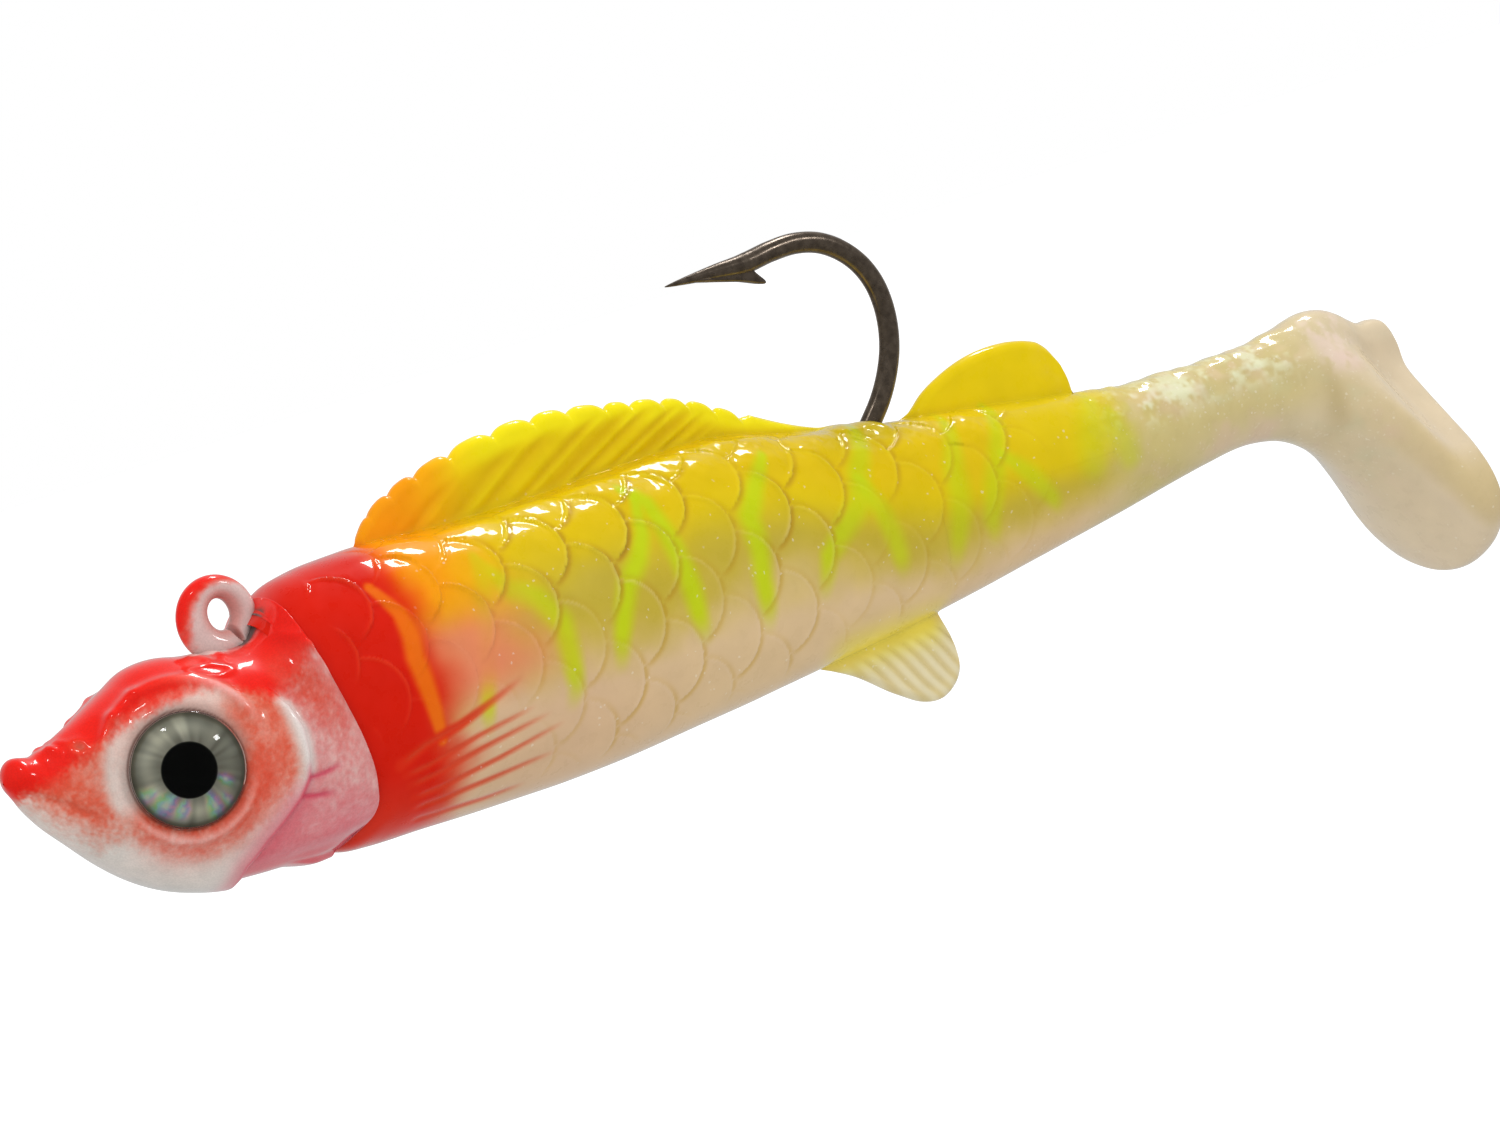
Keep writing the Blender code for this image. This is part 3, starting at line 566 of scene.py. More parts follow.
def fin_grooves(station, height, top):
    """The front fin's slanted grooves: 0 on a ridge, 1 at the bottom of a groove."""
    foot = (station + 0.55 * (height - 6)) / (1 + 0.095 * (height - 6))
    phase = np.interp(foot, RAY_FEET, np.arange(len(RAY_FEET)))
    phase = phase + 0.12 * np.sin(phase * 4.1)
    wave = 0.5 + 0.5 * np.cos(2 * math.pi * phase)
    minor = 0.5 + 0.5 * np.cos(6 * math.pi * phase)
    edge = fin_line(FRONT_FIN, station.ravel(), NO_FIN_ABOVE).reshape(station.shape)
    smooth = edge - 1.35 + 0.75 * eased(station, 26.0, 37.0)
    zone = between(height, top - 0.25, top + 0.35, smooth - 0.35, smooth + 0.3)
    zone = zone * between(station, *FURROWS)
    return (0.9 * wave + 0.1 * minor) * zone


def flank_relief(s, w, h, girth, top, bottom):
    """The scales on the flanks, with their rims for a painted highlight and the amber tint behind them as
    masks, and the scales' domes.
    """
    rim, groove, amber_groove, dome = scale_relief(s, girth)
    pectoral = (1 - eased(s, 22.0, 25.5)) * (1 - eased(h, -2.2, -0.9))
    zone = between(s, *FLANK_SCALES) * (1 - eased(h, top - 0.9, top - 0.3))
    zone = zone * eased(h, bottom + 0.5, bottom + 1.4) * (1 - pectoral)
    strength = zone * np.clip(0.05 + 1.6 * noise(s, w, h, 2.8), 0, 1.25)
    strength = strength * (1 - 0.5 * eased(s, 38, 50)) * (0.42 + 0.58 * eased(h, -1.5, 3.2))
    broken = 0.75 + 0.9 * (noise(s, w, h, 0.4, 12.0) - 0.3) * eased(h, 1.0, 3.5)
    relief = strength * ((0.065 + 0.05 * eased(h, 1.0, 3.2)) * rim * broken - 0.03 * groove)
    return relief, rim * strength, amber_groove * strength, dome


def fin_relief(s, h, top, bottom, lower):
    """The front fin's furrows and foot crease and the anal fin's ribs, with masks for the paint: painted
    shade in the furrows and the crease, a painted highlight on the ribs.
    """
    furrow = fin_grooves(s, h, top)
    crease = bell(h, top - 0.15, 0.16) * between(s, *FOOT_CREASE)
    rib = (1 - np.abs(np.sin(math.pi * (s + 0.87 * h + 0.2 * np.sin(1.3 * h)) / 0.78))) ** 1.4
    fin_down = eased(-h, 0.1 - bottom, 0.7 - bottom)
    first, last = ANAL_FIN_SPAN
    ribbed = fin_down * (s > first) * (s < last) * eased(-h, 4.9, 6.2) * eased(h - lower, 0.15, 0.9)
    masks = {
        "FinUp": eased(h, top - 0.2, top + 0.5), "FinDown": fin_down, "FurrowShade": furrow, "CreaseShade": crease,
        "RibHighlight": (1 - rib) ** 3 * eased(-h, 5.2, 6.0),
    }
    return -0.12 * furrow - 0.06 * crease - 0.09 * rib * ribbed, masks


def lump_relief(s, w, h, top, dome):
    """Uneven shoulders, the dimple where the hook comes out, and the lumpy stem."""
    shoulder = between(h, top - 2.4, top - 1.2, top - 0.5, top + 0.1) * between(s, *SHOULDERS)
    relief = 0.16 * dome * shoulder
    shoulder = shoulder * (0.3 + 0.7 * eased(s, 25, 33))
    relief += shoulder * (0.22 * (noise(s, w, h, 1.25) - 0.5) + 0.05 * (noise(s, w, h, 0.33, 1.0) - 0.5))
    dimple = np.hypot(s - HOOK_EXIT[0], (h - HOOK_EXIT[1]) * 1.3)
    near = (1 - eased(np.abs(w), 1.2, 2.2)) * (h > 2)
    relief += (0.22 * bell(dimple, 1.25, 0.5) - 0.3 * bell(dimple, 0.0, 0.75)) * near
    stem = between(s, *STEM_LUMPS) * eased(h, -1.2, 0.6)
    relief += stem * (0.16 * (noise(s, w, h, 1.1, 3.0) - 0.5) + 0.07 * (noise(s, w, h, 0.45, 2.0) - 0.5))
    relief += 0.05 * (noise(s, w, h, 2.6, 9.0) - 0.5) * (1 - eased(s, 68, 72))
    return relief


def body_relief(form):
    """How far each point of the body's skin stands out, with masks for the paint."""
    s, w, h = form["station"], form["width"], form["height"]
    top, bottom = form["top"], form["bottom"]
    relief, rim, amber_groove, dome = flank_relief(s, w, h, form["girth"], top, bottom)
    fins, masks = fin_relief(s, h, top, bottom, form["lower"])
    rays = np.zeros(s.shape)
    for _, line in PECTORAL_RAYS:
        gap, share = from_line(line, s, h)
        rays = np.maximum(rays, bell(gap, 0, 0.11) * between(share, 0.0, 0.1, 0.75, 1.0))
    relief += fins - 0.045 * rays + lump_relief(s, w, h, top, dome)
    return relief, masks | {"Groove": amber_groove, "RimHighlight": rim, "Rays": rays}


def flank_paint(s, h, rise, cloud, mist):
    """The flanks' colours, from the cream belly to the yellow back, with painted shade round the hook's exit.
    """
    base = np.broadcast_to(CREAM, (*s.shape, 3)).astype(float)
    base = tint(base, (0.86, 0.68, 0.58), 0.35 * (1 - eased(s + 2 * cloud, 22, 36)))
    base = tint(base, OLIVE, eased(rise + 0.22 * cloud + 0.1 * mist, -0.42, 0.18))
    base = tint(base, YELLOW, eased(rise + 0.25 * cloud - 0.22 * bell(s, 27.0, 4.0), 0.08, 0.62))
    base = tint(base, (0.90, 0.72, 0.0), 0.35 * eased(rise, 0.35, 0.8) * (1 - eased(s, 50.0, 58.0)))
    # painted shade: darker olive round the dimple where the hook comes out
    return tint(base, (0.74, 0.66, 0.08), 0.6 * bell(s, 46.8, 2.6) * eased(h, 2.6, 4.2))


def tail_paint(base, form, tail):
    """The pearl stem and the cream paddle painted over the flanks' colours, with painted highlights on the
    stem's upper side and a painted pink sparkle on the paddle's neck.
    """
    s, w, h = form["station"], form["width"], form["height"]
    base = tint(base, PEARL, tail)
    base = tint(base, (0.80, 0.74, 0.42), 0.75 * bell(s, 60.5, 4.5) * tail)
    stem = tail * (1 - eased(s, 70.5, 75.5))
    base = tint(base, (0.84, 0.77, 0.52), 0.8 * stem * eased(h, -2.6, -0.6))
    # painted highlight: pale and pinkish blotches along the stem's upper side
    glow = between(s, *STEM_PAINTED_HIGHLIGHT) * bell(h, 1.1, 1.0)
    flecks = 0.4 * noise(s, w, h, 1.2, 4.0) + 0.35 * noise(s, w, h, 0.45, 2.0)
    flecks = flecks + 0.25 * noise(s, w, h, 0.2, 6.0)
    base = tint(base, (0.95, 0.96, 0.82), 0.85 * glow * eased(flecks, 0.40, 0.66))
    base = tint(base, (0.95, 0.82, 0.76), 0.3 * glow * eased(noise(s, w, h, 0.6, 8.0), 0.5, 0.8))
    # painted highlight: a pale pink sparkle where the stem meets the paddle
    pink = between(s, *PADDLE_NECK) * eased(h, -1.4, 0.0)
    base = tint(base, (0.98, 0.88, 0.86), 0.6 * pink * eased(flecks, 0.35, 0.65))
    joint = bell(np.hypot((s - 73.0) / 0.55, (h + 1.9) / 1.6), 0, 1.0)
    base = tint(base, (0.66, 0.58, 0.36), np.minimum(1.75 * joint * form["paddle"], 0.75))
    rim = eased(np.abs(w) / np.maximum(form["half"], 0.1), 0.80, 1.0) * form["paddle"]
    base = tint(base, (0.92, 0.84, 0.73), 0.6 * form["paddle"])
    return tint(base, (0.80, 0.70, 0.44), 0.45 * rim)


def fins_paint(base, s, h, masks, tail):
    """The clear yellow fins painted over the body's colours, with painted highlights along the anal fin's
    ribs and a painted glow towards the front fin's thin edge.
    """
    first, last = ANAL_FIN_SPAN
    anal = masks["FinDown"] * (s > first) * (s < last)
    base = tint(base, (0.90, 0.83, 0.60), 0.9 * anal)
    # painted highlight: pale lines along the anal fin's ribs
    base = tint(base, (0.98, 0.95, 0.84), 0.55 * anal * masks["RibHighlight"])
    base = tint(base, (0.98, 0.90, 0.28), 0.8 * bell(h, -5.4, 0.9) * between(s, *ANAL_FIN_BACK))
    fin = masks["FinUp"] * (1 - tail)
    base = tint(base, (0.94, 0.82, 0.0), fin)
    edge = fin_line(FRONT_FIN, s.ravel(), NO_FIN_ABOVE).reshape(s.shape)
    # painted light: brighter yellow towards the fin's thin top edge, standing in for light shining through
    # the vinyl
    return tint(base, (1.0, 0.93, 0.05), fin * (1 - eased(edge - h, 0.7, 1.5)) * (s < 46))


def lime_paint(base, s, h, cloud):
    """The fluorescent streaks, softer towards the tail."""
    for spread, line in LIME_STREAKS:
        gap, share = from_line(line, s, h)
        half = spread * (0.35 + 0.65 * np.sin(math.pi * np.clip(share, 0, 1)) ** 0.7) + 0.12 * cloud
        soft = 1.2 + 0.6 * eased(s, 40, 50) + 0.8 * eased(s, 55, 57)
        weight = (1 - eased(gap, half * 0.2, half * (soft + 0.35) + 0.15)) * (1 - eased(share, 0.75, 1.0))
        base = tint(base, LIME, (0.88 - 0.3 * eased(s, 36, 48) - 0.25 * eased(s, 55, 57)) * weight)
    return base


def red_paint(base, s, h, rise, masks, cloud, mist):
    """The red shoulders with their orange and pink mist, the orange streak, the pectoral rays and a painted
    highlight on the scale rims.
    """
    reach = s + 0.9 * cloud + 0.5 * mist - 0.12 * np.abs(h - 1.0)
    warm = (1 - eased(reach, 21.2, 27.0)) * eased(h, -2.2, 0.0)
    base = tint(base, (0.95, 0.54, 0.40), 0.9 * warm * (1 - eased(rise, 0.25, 0.65)))
    high = (1 - eased(reach - 0.35 * (h - 5) * (h > 5), 20.4, 25.2)) * eased(rise, 0.2, 0.6)
    base = tint(base, (1.0, 0.63, 0.0), high)
    belly = 1 - eased(rise, -0.95, -0.45)
    red = 1 - eased(reach + 1.0 * belly + 1.3 * masks["FinUp"] + 0.5 * eased(h, 3, 5), 17.6, 20.6)
    base = tint(base, RED, red)
    base = tint(base, (0.86, 0.40, 0.36), 0.6 * belly * (1 - eased(s, 15.5, 20.5)) * (1 - 0.4 * red))
    # painted highlight: lighter orange along the raised scale rims
    base = tint(base, (0.98, 0.36, 0.22), 0.45 * masks["RimHighlight"] * red)
    for spread, line in ORANGE_STREAKS:
        gap, share = from_line(line, s, h)
        half = spread * (0.5 + 0.5 * np.sin(math.pi * share))
        base = tint(base, (0.97, 0.46, 0.02), 0.9 * (1 - eased(gap, half * 0.35, half * 1.2)))
    for spread, line in PECTORAL_RAYS:
        gap, share = from_line(line, s, h)
        thick = 1 - eased(gap, 0.3 * spread * (1 - share), spread * (1.05 - 0.5 * share))
        weight = (0.9 if spread > 0.3 else 0.55) * thick * (1 - eased(share, 0.45, 1.0))
        base = tint(base, (0.90, 0.17, 0.05), weight)
    return tint(base, (0.86, 0.34, 0.22), 0.45 * masks["Rays"])


def body_paint(form, masks):
    """The body's airbrushed colours, in the order in which they are sprayed, with painted shade in the fin's
    furrows and painted highlights on the scale rims and the anal fin's ribs.
    """
    s, w, h = form["station"], form["width"], form["height"]
    top, bottom = form["top"], form["bottom"]
    cloud = noise(s, w, h, 2.2, 5.0) - 0.5
    mist = noise(s, w, h, 0.8, 1.5) - 0.5
    rise = (2 * h - top - bottom) / (top - bottom) + 0.42 * eased(s, 36, 52)
    tail = eased(s + 1.5 * cloud - 0.45 * h, 57.2, 64.5)
    base = tail_paint(flank_paint(s, h, rise, cloud, mist), form, tail)
    base = lime_paint(fins_paint(base, s, h, masks, tail), s, h, cloud)
    base = tint(base, AMBER, 0.7 * masks["Groove"] * (1 - 0.5 * tail))
    # painted highlight: paler yellow above and pale cream below along the raised scale rims
    base = tint(base, (0.97, 0.90, 0.45), 0.35 * masks["RimHighlight"] * eased(rise, 0.1, 0.6))
    base = tint(base, (0.95, 0.84, 0.72), 0.4 * masks["RimHighlight"] * (1 - eased(rise, 0.2, 0.5)))
    # painted shade: darker amber in the front fin's furrows and along the crease at its foot
    base = tint(base, (0.88, 0.70, 0.0), 0.6 * masks["FurrowShade"] + 0.5 * masks["CreaseShade"])
    return np.clip(red_paint(base, s, h, rise, masks, cloud, mist), 0, 1)


def make_body(material):
    """The soft body's skin, in the lengths that follow the hinges."""
    form = body_form()
    station, row_station = form["station"], form["row"][:, 0]
    plain = place(station, form["width"], form["height"])
    relief, masks = body_relief(form)
    points = plain + grid_normals(plain) * (relief * MM)[..., None]
    normals = grid_normals(points)
    paint = body_paint(form, masks)
    layers = {
        "Pearl": eased(station, 56.0, 66.0) * (1 - 0.85 * eased(station, 74.5, 76.0)),
        "Glitter": eased(station, 18.0, 22.0) * (1 - masks["FinUp"]),
    }
    ends = [0, *(int(np.argmax(row_station > end)) for end in SKIN_ENDS), len(row_station) - 1]
    pieces = []
    for name, first, last in zip(SKIN_NAMES, ends, ends[1:]):
        rows = slice(first, last + 1)
        shown = {layer: values[rows] for layer, values in layers.items()}
        pieces.append(grid_object(name, points[rows], material, paint[rows], shown, normals[rows]))
    return pieces


# ---------------------------------------------------------------- head

def eye_frame(side):
    """Placement of an eye, whose +Z looks out of the socket. Side is -1 on the left and 1 on the right."""
    turn = math.radians(EYE_TURN)
    outward = Vector((-math.sin(turn), side * math.cos(turn), 0))
    spot = Vector(place(np.float64(EYE_STATION), np.float64(side * EYE_WIDTH), np.float64(0.0)))
    return Matrix.Translation(spot) @ outward.to_track_quat("Z", "Y").to_matrix().to_4x4()


def head_form():
    """The head as one grid: station, width and height at each point, with its lip tucked in behind."""
    rows = by_length(HEAD_SECTIONS, HEAD_ROWS)
    station, top, bottom, half_width = (rows[:, i:i + 1] for i in range(4))
    height = section_heights(top, bottom)
    width, height, _ = section_rings(half_oval(top, bottom, half_width, height), height, HEAD_COLUMNS)
    station = station + eased(station, GILL_START, HEAD_END) * gill_shift(height)
    grid = [station, width, height]
    end = [values[-1:] for values in grid]
    for behind, inward in HEAD_LIP:
        squeeze = 1 - inward / LIP_DEPTH
        lip = (end[0] + behind, end[1] * squeeze, end[2] * squeeze)
        grid = [np.concatenate(pair) for pair in zip(grid, lip)]
    return grid


def eye_socket(points):
    """The head's points with a dished seat round each eye, and each point's place about its eye."""
    around = np.full(points.shape[:2], np.inf)
    angle = np.zeros(points.shape[:2])
    for side in (-1, 1):
        frame = np.array(eye_frame(side))
        local = (points - frame[:3, 3]) @ frame[:3, :3] / MM
        flat = np.hypot(local[..., 0], local[..., 1])
        near = (points[..., 1] * side > 0) & (flat < 8)
        around = np.where(near, flat, around)
        back = points[..., 0] / MM + TIE_STATION - EYE_STATION
        up = points[..., 2] / MM + TIE_HEIGHT
        angle = np.where(near, np.arctan2(up, back), angle)
        high = eased(up, 0.0, 2.6)
        seat = np.where(near, 1 - eased(flat, SEAT_RADIUS, 3.15 + 0.35 * high), 0.0)
        floor = -0.12 + 0.1 * np.clip(flat - SEAT_RADIUS, 0, 1)
        shift = (floor - local[..., 2]) * seat
        points = points + (shift * MM)[..., None] * frame[:3, 2]
    return points, around, angle


def head_relief(s, w, h, around, angle):
    """How far each point of the head stands out."""
    side = eased(np.abs(w), 0.6, 1.4)
    brow = bell(around, 3.7, 0.34) * eased(np.sin(angle - 0.05), 0.05, 0.6)
    lip = bell(around, 3.02, 0.27) * eased(np.sin(-angle - 0.05), 0.1, 0.9)
    relief = 0.34 * brow + 0.20 * lip
    boss = np.hypot(s - NOSTRIL[0], h - NOSTRIL[1])
    relief += side * (0.22 * bell(boss, 0.0, 0.5) - 0.24 * bell(boss, 0.0, 0.2))
    for station, height, rise, spread in HEAD_BUMPS:
        relief += rise * bell(np.hypot(s - station, h - height), 0, spread) * eased(np.abs(w), 0.1, 0.5)
    saddle = bell(s - 0.22 * (2.2 - h), 1.55, 0.42) * eased(h, 1.2, 2.1)
    relief += 0.10 * bell(s, 0.55, 0.55) * eased(h, 0.9, 1.8) - 0.11 * saddle
    mouth, share = from_line(MOUTH, s, h)
    relief -= 0.10 * bell(mouth, 0, 0.2) * (1 - eased(share, 0.6, 1.0)) * eased(np.abs(w), 0.3, 0.8)
    oval = np.hypot((s - 9.6) / 1.0, (h - 3.62 + 0.16 * (s - 9.6)) / 0.28)
    relief += 0.07 * bell(oval, 1.0, 0.28) * side
    gap, share = from_line(PREOPERCLE, s, h)
    behind = np.where(s > line_x(PREOPERCLE, h), gap, -gap)
    low = 1 - eased(h, -5.6, -4.6)
    step = eased(behind, -0.06, 0.2) * (1 - eased(behind, 0.8, 3.2) * (1 - low))
    low = low * (1 - eased(s, 11.2, 13.2))
    relief -= (0.24 * step * np.maximum(side, low) + 0.10 * low * step) * (1 - eased(h, 1.5, 2.6))
    relief += 0.12 * bell(behind, -0.2, 0.26) * side * between(share, 0.02, 0.15, 0.35, 0.55)
    relief -= 0.07 * bell(behind, 0.1, 0.14) * side * eased(share, 0.3, 0.5)
    for line in CREASES:
        gap, share = from_line(line, s, h)
        relief -= 0.07 * bell(gap, 0, 0.14) * side * (1 - eased(share, 0.6, 1.0))
    patch = np.hypot((s - 12.7) / 0.9, (h - 4.4) / 0.8)
    relief -= 0.15 * bell(patch, 0, 0.9) * (1 - eased(np.abs(w), 0.8, 1.6))
    relief += 0.05 * (noise(s, w, h, 1.7, 4.0) - 0.5)
    return relief


def cheek_paint(base, s, h, around, angle, speckle):
    """The rosy blush round the eye, a painted highlight below its seat and painted shade under its brow."""
    over_blush = h - line_at(BLUSH, s)
    blush = eased(over_blush + 0.7 * speckle, -0.7, 1.3) * (1 - eased(s, 11.0, 11.9))
    dish = (1 - eased(around, 3.3, 3.9)) * eased(np.sin(angle - 0.55), -0.1, 0.4)
    pale_nose = 0.5 * bell(np.hypot((s - 3.7) / 0.8, (h - 0.4) / 1.5), 0.0, 1.0)
    ridge = bell(around, 3.9, 0.4) * eased(np.cos(angle + 0.2), 0.1, 0.8) * 0.15
    blush = blush * (1 - 0.8 * dish) * (1 - 0.8 * pale_nose) * (1 - ridge)
    base = tint(base, (0.88, 0.36, 0.26), blush * (0.92 + 0.9 * speckle))
    under = bell(around, 3.45, 0.75) * eased(np.sin(-angle + 0.35), 0.1, 0.8)
    base = tint(base, (0.88, 0.26, 0.18), 0.45 * under * (0.9 + 0.9 * speckle))
    # painted highlight on the lower lip of the eye's seat
    glint = bell(around, 2.98, 0.14) * eased(np.sin(-angle - 0.05), 0.1, 0.9)
    base = tint(base, (0.96, 0.78, 0.76), 0.55 * glint)
    # painted shade in the upper part of the eye's seat
    shade = (1 - eased(around, 2.7, 3.4)) * eased(np.sin(angle + 0.35), 0.1, 0.7)
    return tint(base, (0.72, 0.58, 0.54), 0.6 * shade)


def gill_paint(base, s, h, cloud, speckle):
    """The pink gill cover, the pale edge in front of it and its dark creases."""
    plate = eased(s - line_x(PREOPERCLE, h), 0.05, 0.6)
    base = tint(base, (0.86, 0.47, 0.47), plate * 0.75 * (0.85 + 1.2 * speckle))
    base = tint(base, (0.90, 0.42, 0.48), 0.6 * plate * eased(-h + 1.2 * cloud + 0.6 * speckle, 2.2, 5.4))
    upper = bell(np.hypot((s - 13.2 + 0.25 * (h - 1.5)) / 0.95, (h - 2.0) / 2.3), 0, 1.0)
    base = tint(base, (0.86, 0.26, 0.18), 0.9 * upper * (0.85 + 1.2 * speckle))
    gap, share = from_line(PREOPERCLE, s, h)
    base = tint(base, (0.92, 0.86, 0.85), 0.75 * bell(gap, 0.0, 0.26) * between(share, 0.02, 0.12, 0.3, 0.5))
    base = tint(base, (0.84, 0.12, 0.24), 0.75 * bell(gap, 0.04, 0.15) * eased(share, 0.36, 0.5))
    base = tint(base, (0.88, 0.36, 0.42), 0.5 * bell(gap, 0.25, 0.6) * eased(share, 0.4, 0.6))
    for line in CREASES:
        gap, share = from_line(line, s, h)
        base = tint(base, (0.84, 0.20, 0.32), 0.7 * bell(gap, 0, 0.12) * (1 - eased(share, 0.45, 1.0)))
    return tint(base, (0.90, 0.32, 0.36), 0.7 * (1 - eased(h, -5.8, -5.0)) * plate)


def crown_paint(base, s, h, speckle):
    """The red crown and nose, thinner on the collar and round the nostril."""
    red = eased(h - line_at(BROW, s) + 0.6 * speckle, -0.45, 0.45)
    nose = 1 - eased(s + 0.75 * (1.9 - h) + 0.5 * speckle, 1.2, 3.4)
    red = np.maximum(red, nose * eased(h + 0.35 * s + 0.5 * speckle, 0.9, 2.1))
    collar = eased(s, 11.6, 12.4) * (1 - eased(h, 2.6, 4.0))
    red = red * (1 - 0.45 * collar)
    boss = np.hypot(s - NOSTRIL[0], h - NOSTRIL[1])
    red = red * (1 - 0.75 * bell(boss, 0.0, 0.32))
    return tint(base, HEAD_RED, red)


def head_paint(s, w, h, around, angle):
    """The head's colours, red above and pearl white below, with a painted highlight on the brow ridge and
    painted shade round the eye's lens, and where its lead is bare.
    """
    fine, middle, cloud = (noise(s, w, h, *grain) - 0.5 for grain in HEAD_GRAIN)
    speckle = 0.45 * fine + 0.3 * middle
    base = np.broadcast_to((0.94, 0.895, 0.86), (*s.shape, 3)).astype(float)
    base = tint(base, (0.85, 0.83, 0.80), 0.5 + 0.9 * cloud + 0.5 * middle)
    base = cheek_paint(base, s, h, around, angle, speckle)
    base = gill_paint(base, s, h, cloud, speckle)
    base = crown_paint(base, s, h, speckle)
    # painted highlight: a pale pink line along the brow ridge's crest
    crest_highlight = bell(around, 3.72, 0.2) * bell(angle, 0.85, 0.45)
    base = tint(base, (1.0, 0.80, 0.80), 0.65 * crest_highlight)
    foot = bell(np.hypot((s - 10.9) / 1.35, (h - 4.35) / 0.5), 0, 0.9) * (1 - eased(np.abs(w), 1.0, 1.7))
    base = tint(base, (0.90, 0.80, 0.78), 0.9 * eased(foot + 0.4 * speckle, 0.35, 0.6))
    # painted shade: a thin dark ring where the lens meets its seat
    base = tint(base, (0.30, 0.16, 0.13), 0.55 * bell(around, 2.56, 0.06))
    lead = eased(s + 0.4 * middle, 12.25, 12.6) * (1 - eased(np.abs(w) + 0.5 * middle, 1.0, 1.5)) * (h > 3)
    lead = lead * (1 - eased(h, 5.2, 5.5))
    return tint(np.clip(base, 0, 1), (0.45, 0.37, 0.36), lead), lead


def make_head(material):
    """The painted head."""
    s, w, h = head_form()
    seated, around, angle = eye_socket(place(s, w, h))
    relief = head_relief(s, w, h, around, angle) * eased(around, 2.5, 2.7)
    points = seated + grid_normals(seated) * (relief * MM)[..., None]
    paint, lead = head_paint(s, w, h, around, angle)
    return grid_object("painted_head", points, material, paint, {"Lead": lead})


def make_ring(material):
    """The painted line tie: a thick ring whose hole is narrower than the wire's own."""
    turn = np.linspace(0, 2 * math.pi, 96, endpoint=False)[:, None]
    round_wire = np.linspace(0, 2 * math.pi, 40, endpoint=False)[None, :]
    circle = np.stack([np.cos(turn), np.sin(turn)])
    reach = RING_REACH - 0.22 * bell(turn, 5.55, 0.45)
    outer = np.reshape([TIE_STATION, TIE_HEIGHT], (2, 1, 1)) + reach * circle
    inner = np.reshape(RING_HOLE, (2, 1, 1)) + np.reshape(RING_HOLE_HALF, (2, 1, 1)) * circle
    inner = inner + SLIT_DEPTH * bell(turn, SLIT_TURN, 0.12) * circle
    middle, half = (outer + inner) / 2, (outer - inner) / 2
    station, height = middle + half * np.cos(round_wire)
    foot = 1 + 0.12 * eased(-np.sin(turn), 0.3, 1.0)
    swell = 1 + 0.05 * (noise(middle[0], middle[1], turn * 0, 0.9) - 0.5)
    width = RING_HALF_WIDTH * foot * swell * np.sin(round_wire)
    outside = np.broadcast_to(np.cos(round_wire), station.shape)
    spray = (height - TIE_HEIGHT) * 0.5 - (station - TIE_STATION) * 0.22 + outside
    red = eased(spray + 0.35 * (noise(station, width, height, 0.2) - 0.5), 0.5, 1.65)
    paint = tint(np.broadcast_to((0.87, 0.77, 0.75), (*station.shape, 3)).astype(float), HEAD_RED, red)
    # painted shade: darker pink on the inner face of the ring round its hole
    paint = tint(paint, (0.80, 0.42, 0.38), 0.5 * bell(outside, -0.9, 0.5))
    lead = bell(turn, SLIT_TURN, 0.10) * eased(-outside, -0.1, 0.5)
    points, paint, lead = (np.concatenate([a, a[:1]]) for a in (place(station, width, height), paint, lead))
    return grid_object("painted_line_tie", points, material, paint, {"Lead": lead})


# ---------------------------------------------------------------- eyes and hook

def turned_grid(profile, columns):
    """Points of a surface turned about +Z from (radius, height) points in millimetres."""
    radius, height = np.array(profile, float).T
    turn = np.linspace(0, 2 * math.pi, columns, endpoint=False)[None, :]
    return np.stack([
        radius[:, None] * np.cos(turn), radius[:, None] * np.sin(turn),
        np.repeat(height[:, None], columns, 1),
    ], axis=-1)


def make_eye(side, name, lens_material, iris_material):
    """A stick-on eye: a clear dome over a holographic iris and a black pupil."""
    frame = np.array(eye_frame(side))
    turned_up, spot = frame[:3, :3], frame[:3, 3]
    rise = EYE_DOME - EYE_RIM
    ball = (EYE_RADIUS**2 + rise**2) / (2 * rise)
    reach = math.asin(EYE_RADIUS / ball)
    arc = [(ball * math.sin(a), EYE_DOME - ball + ball * math.cos(a)) for a in np.linspace(0.001, reach, 40)]
    rim = [(EYE_RADIUS + past, height) for past, height in LENS_RIM]
    dome = turned_grid([*arc, *rim, (0.01, 0.0)], 96) * MM @ turned_up.T + spot
    crown = [(r, IRIS_TOP - IRIS_SINK * (r / IRIS_RADIUS) ** 2) for r in np.linspace(0.001, IRIS_RADIUS, 70)]
    points = turned_grid(crown, 220)
    world = points @ turned_up.T
    radius = np.hypot(points[..., 0], points[..., 1])
    pupil = 1 - eased(radius, *PUPIL_EDGE)
    paint = tint(iris_paint(radius, np.arctan2(world[..., 2], world[..., 0])), (0.03, 0.03, 0.028), pupil)
    lens = grid_object(f"lens_{name}", dome, lens_material)
    iris = grid_object(f"iris_{name}", world * MM + spot, iris_material, paint, {"Pupil": pupil})
    return lens, iris


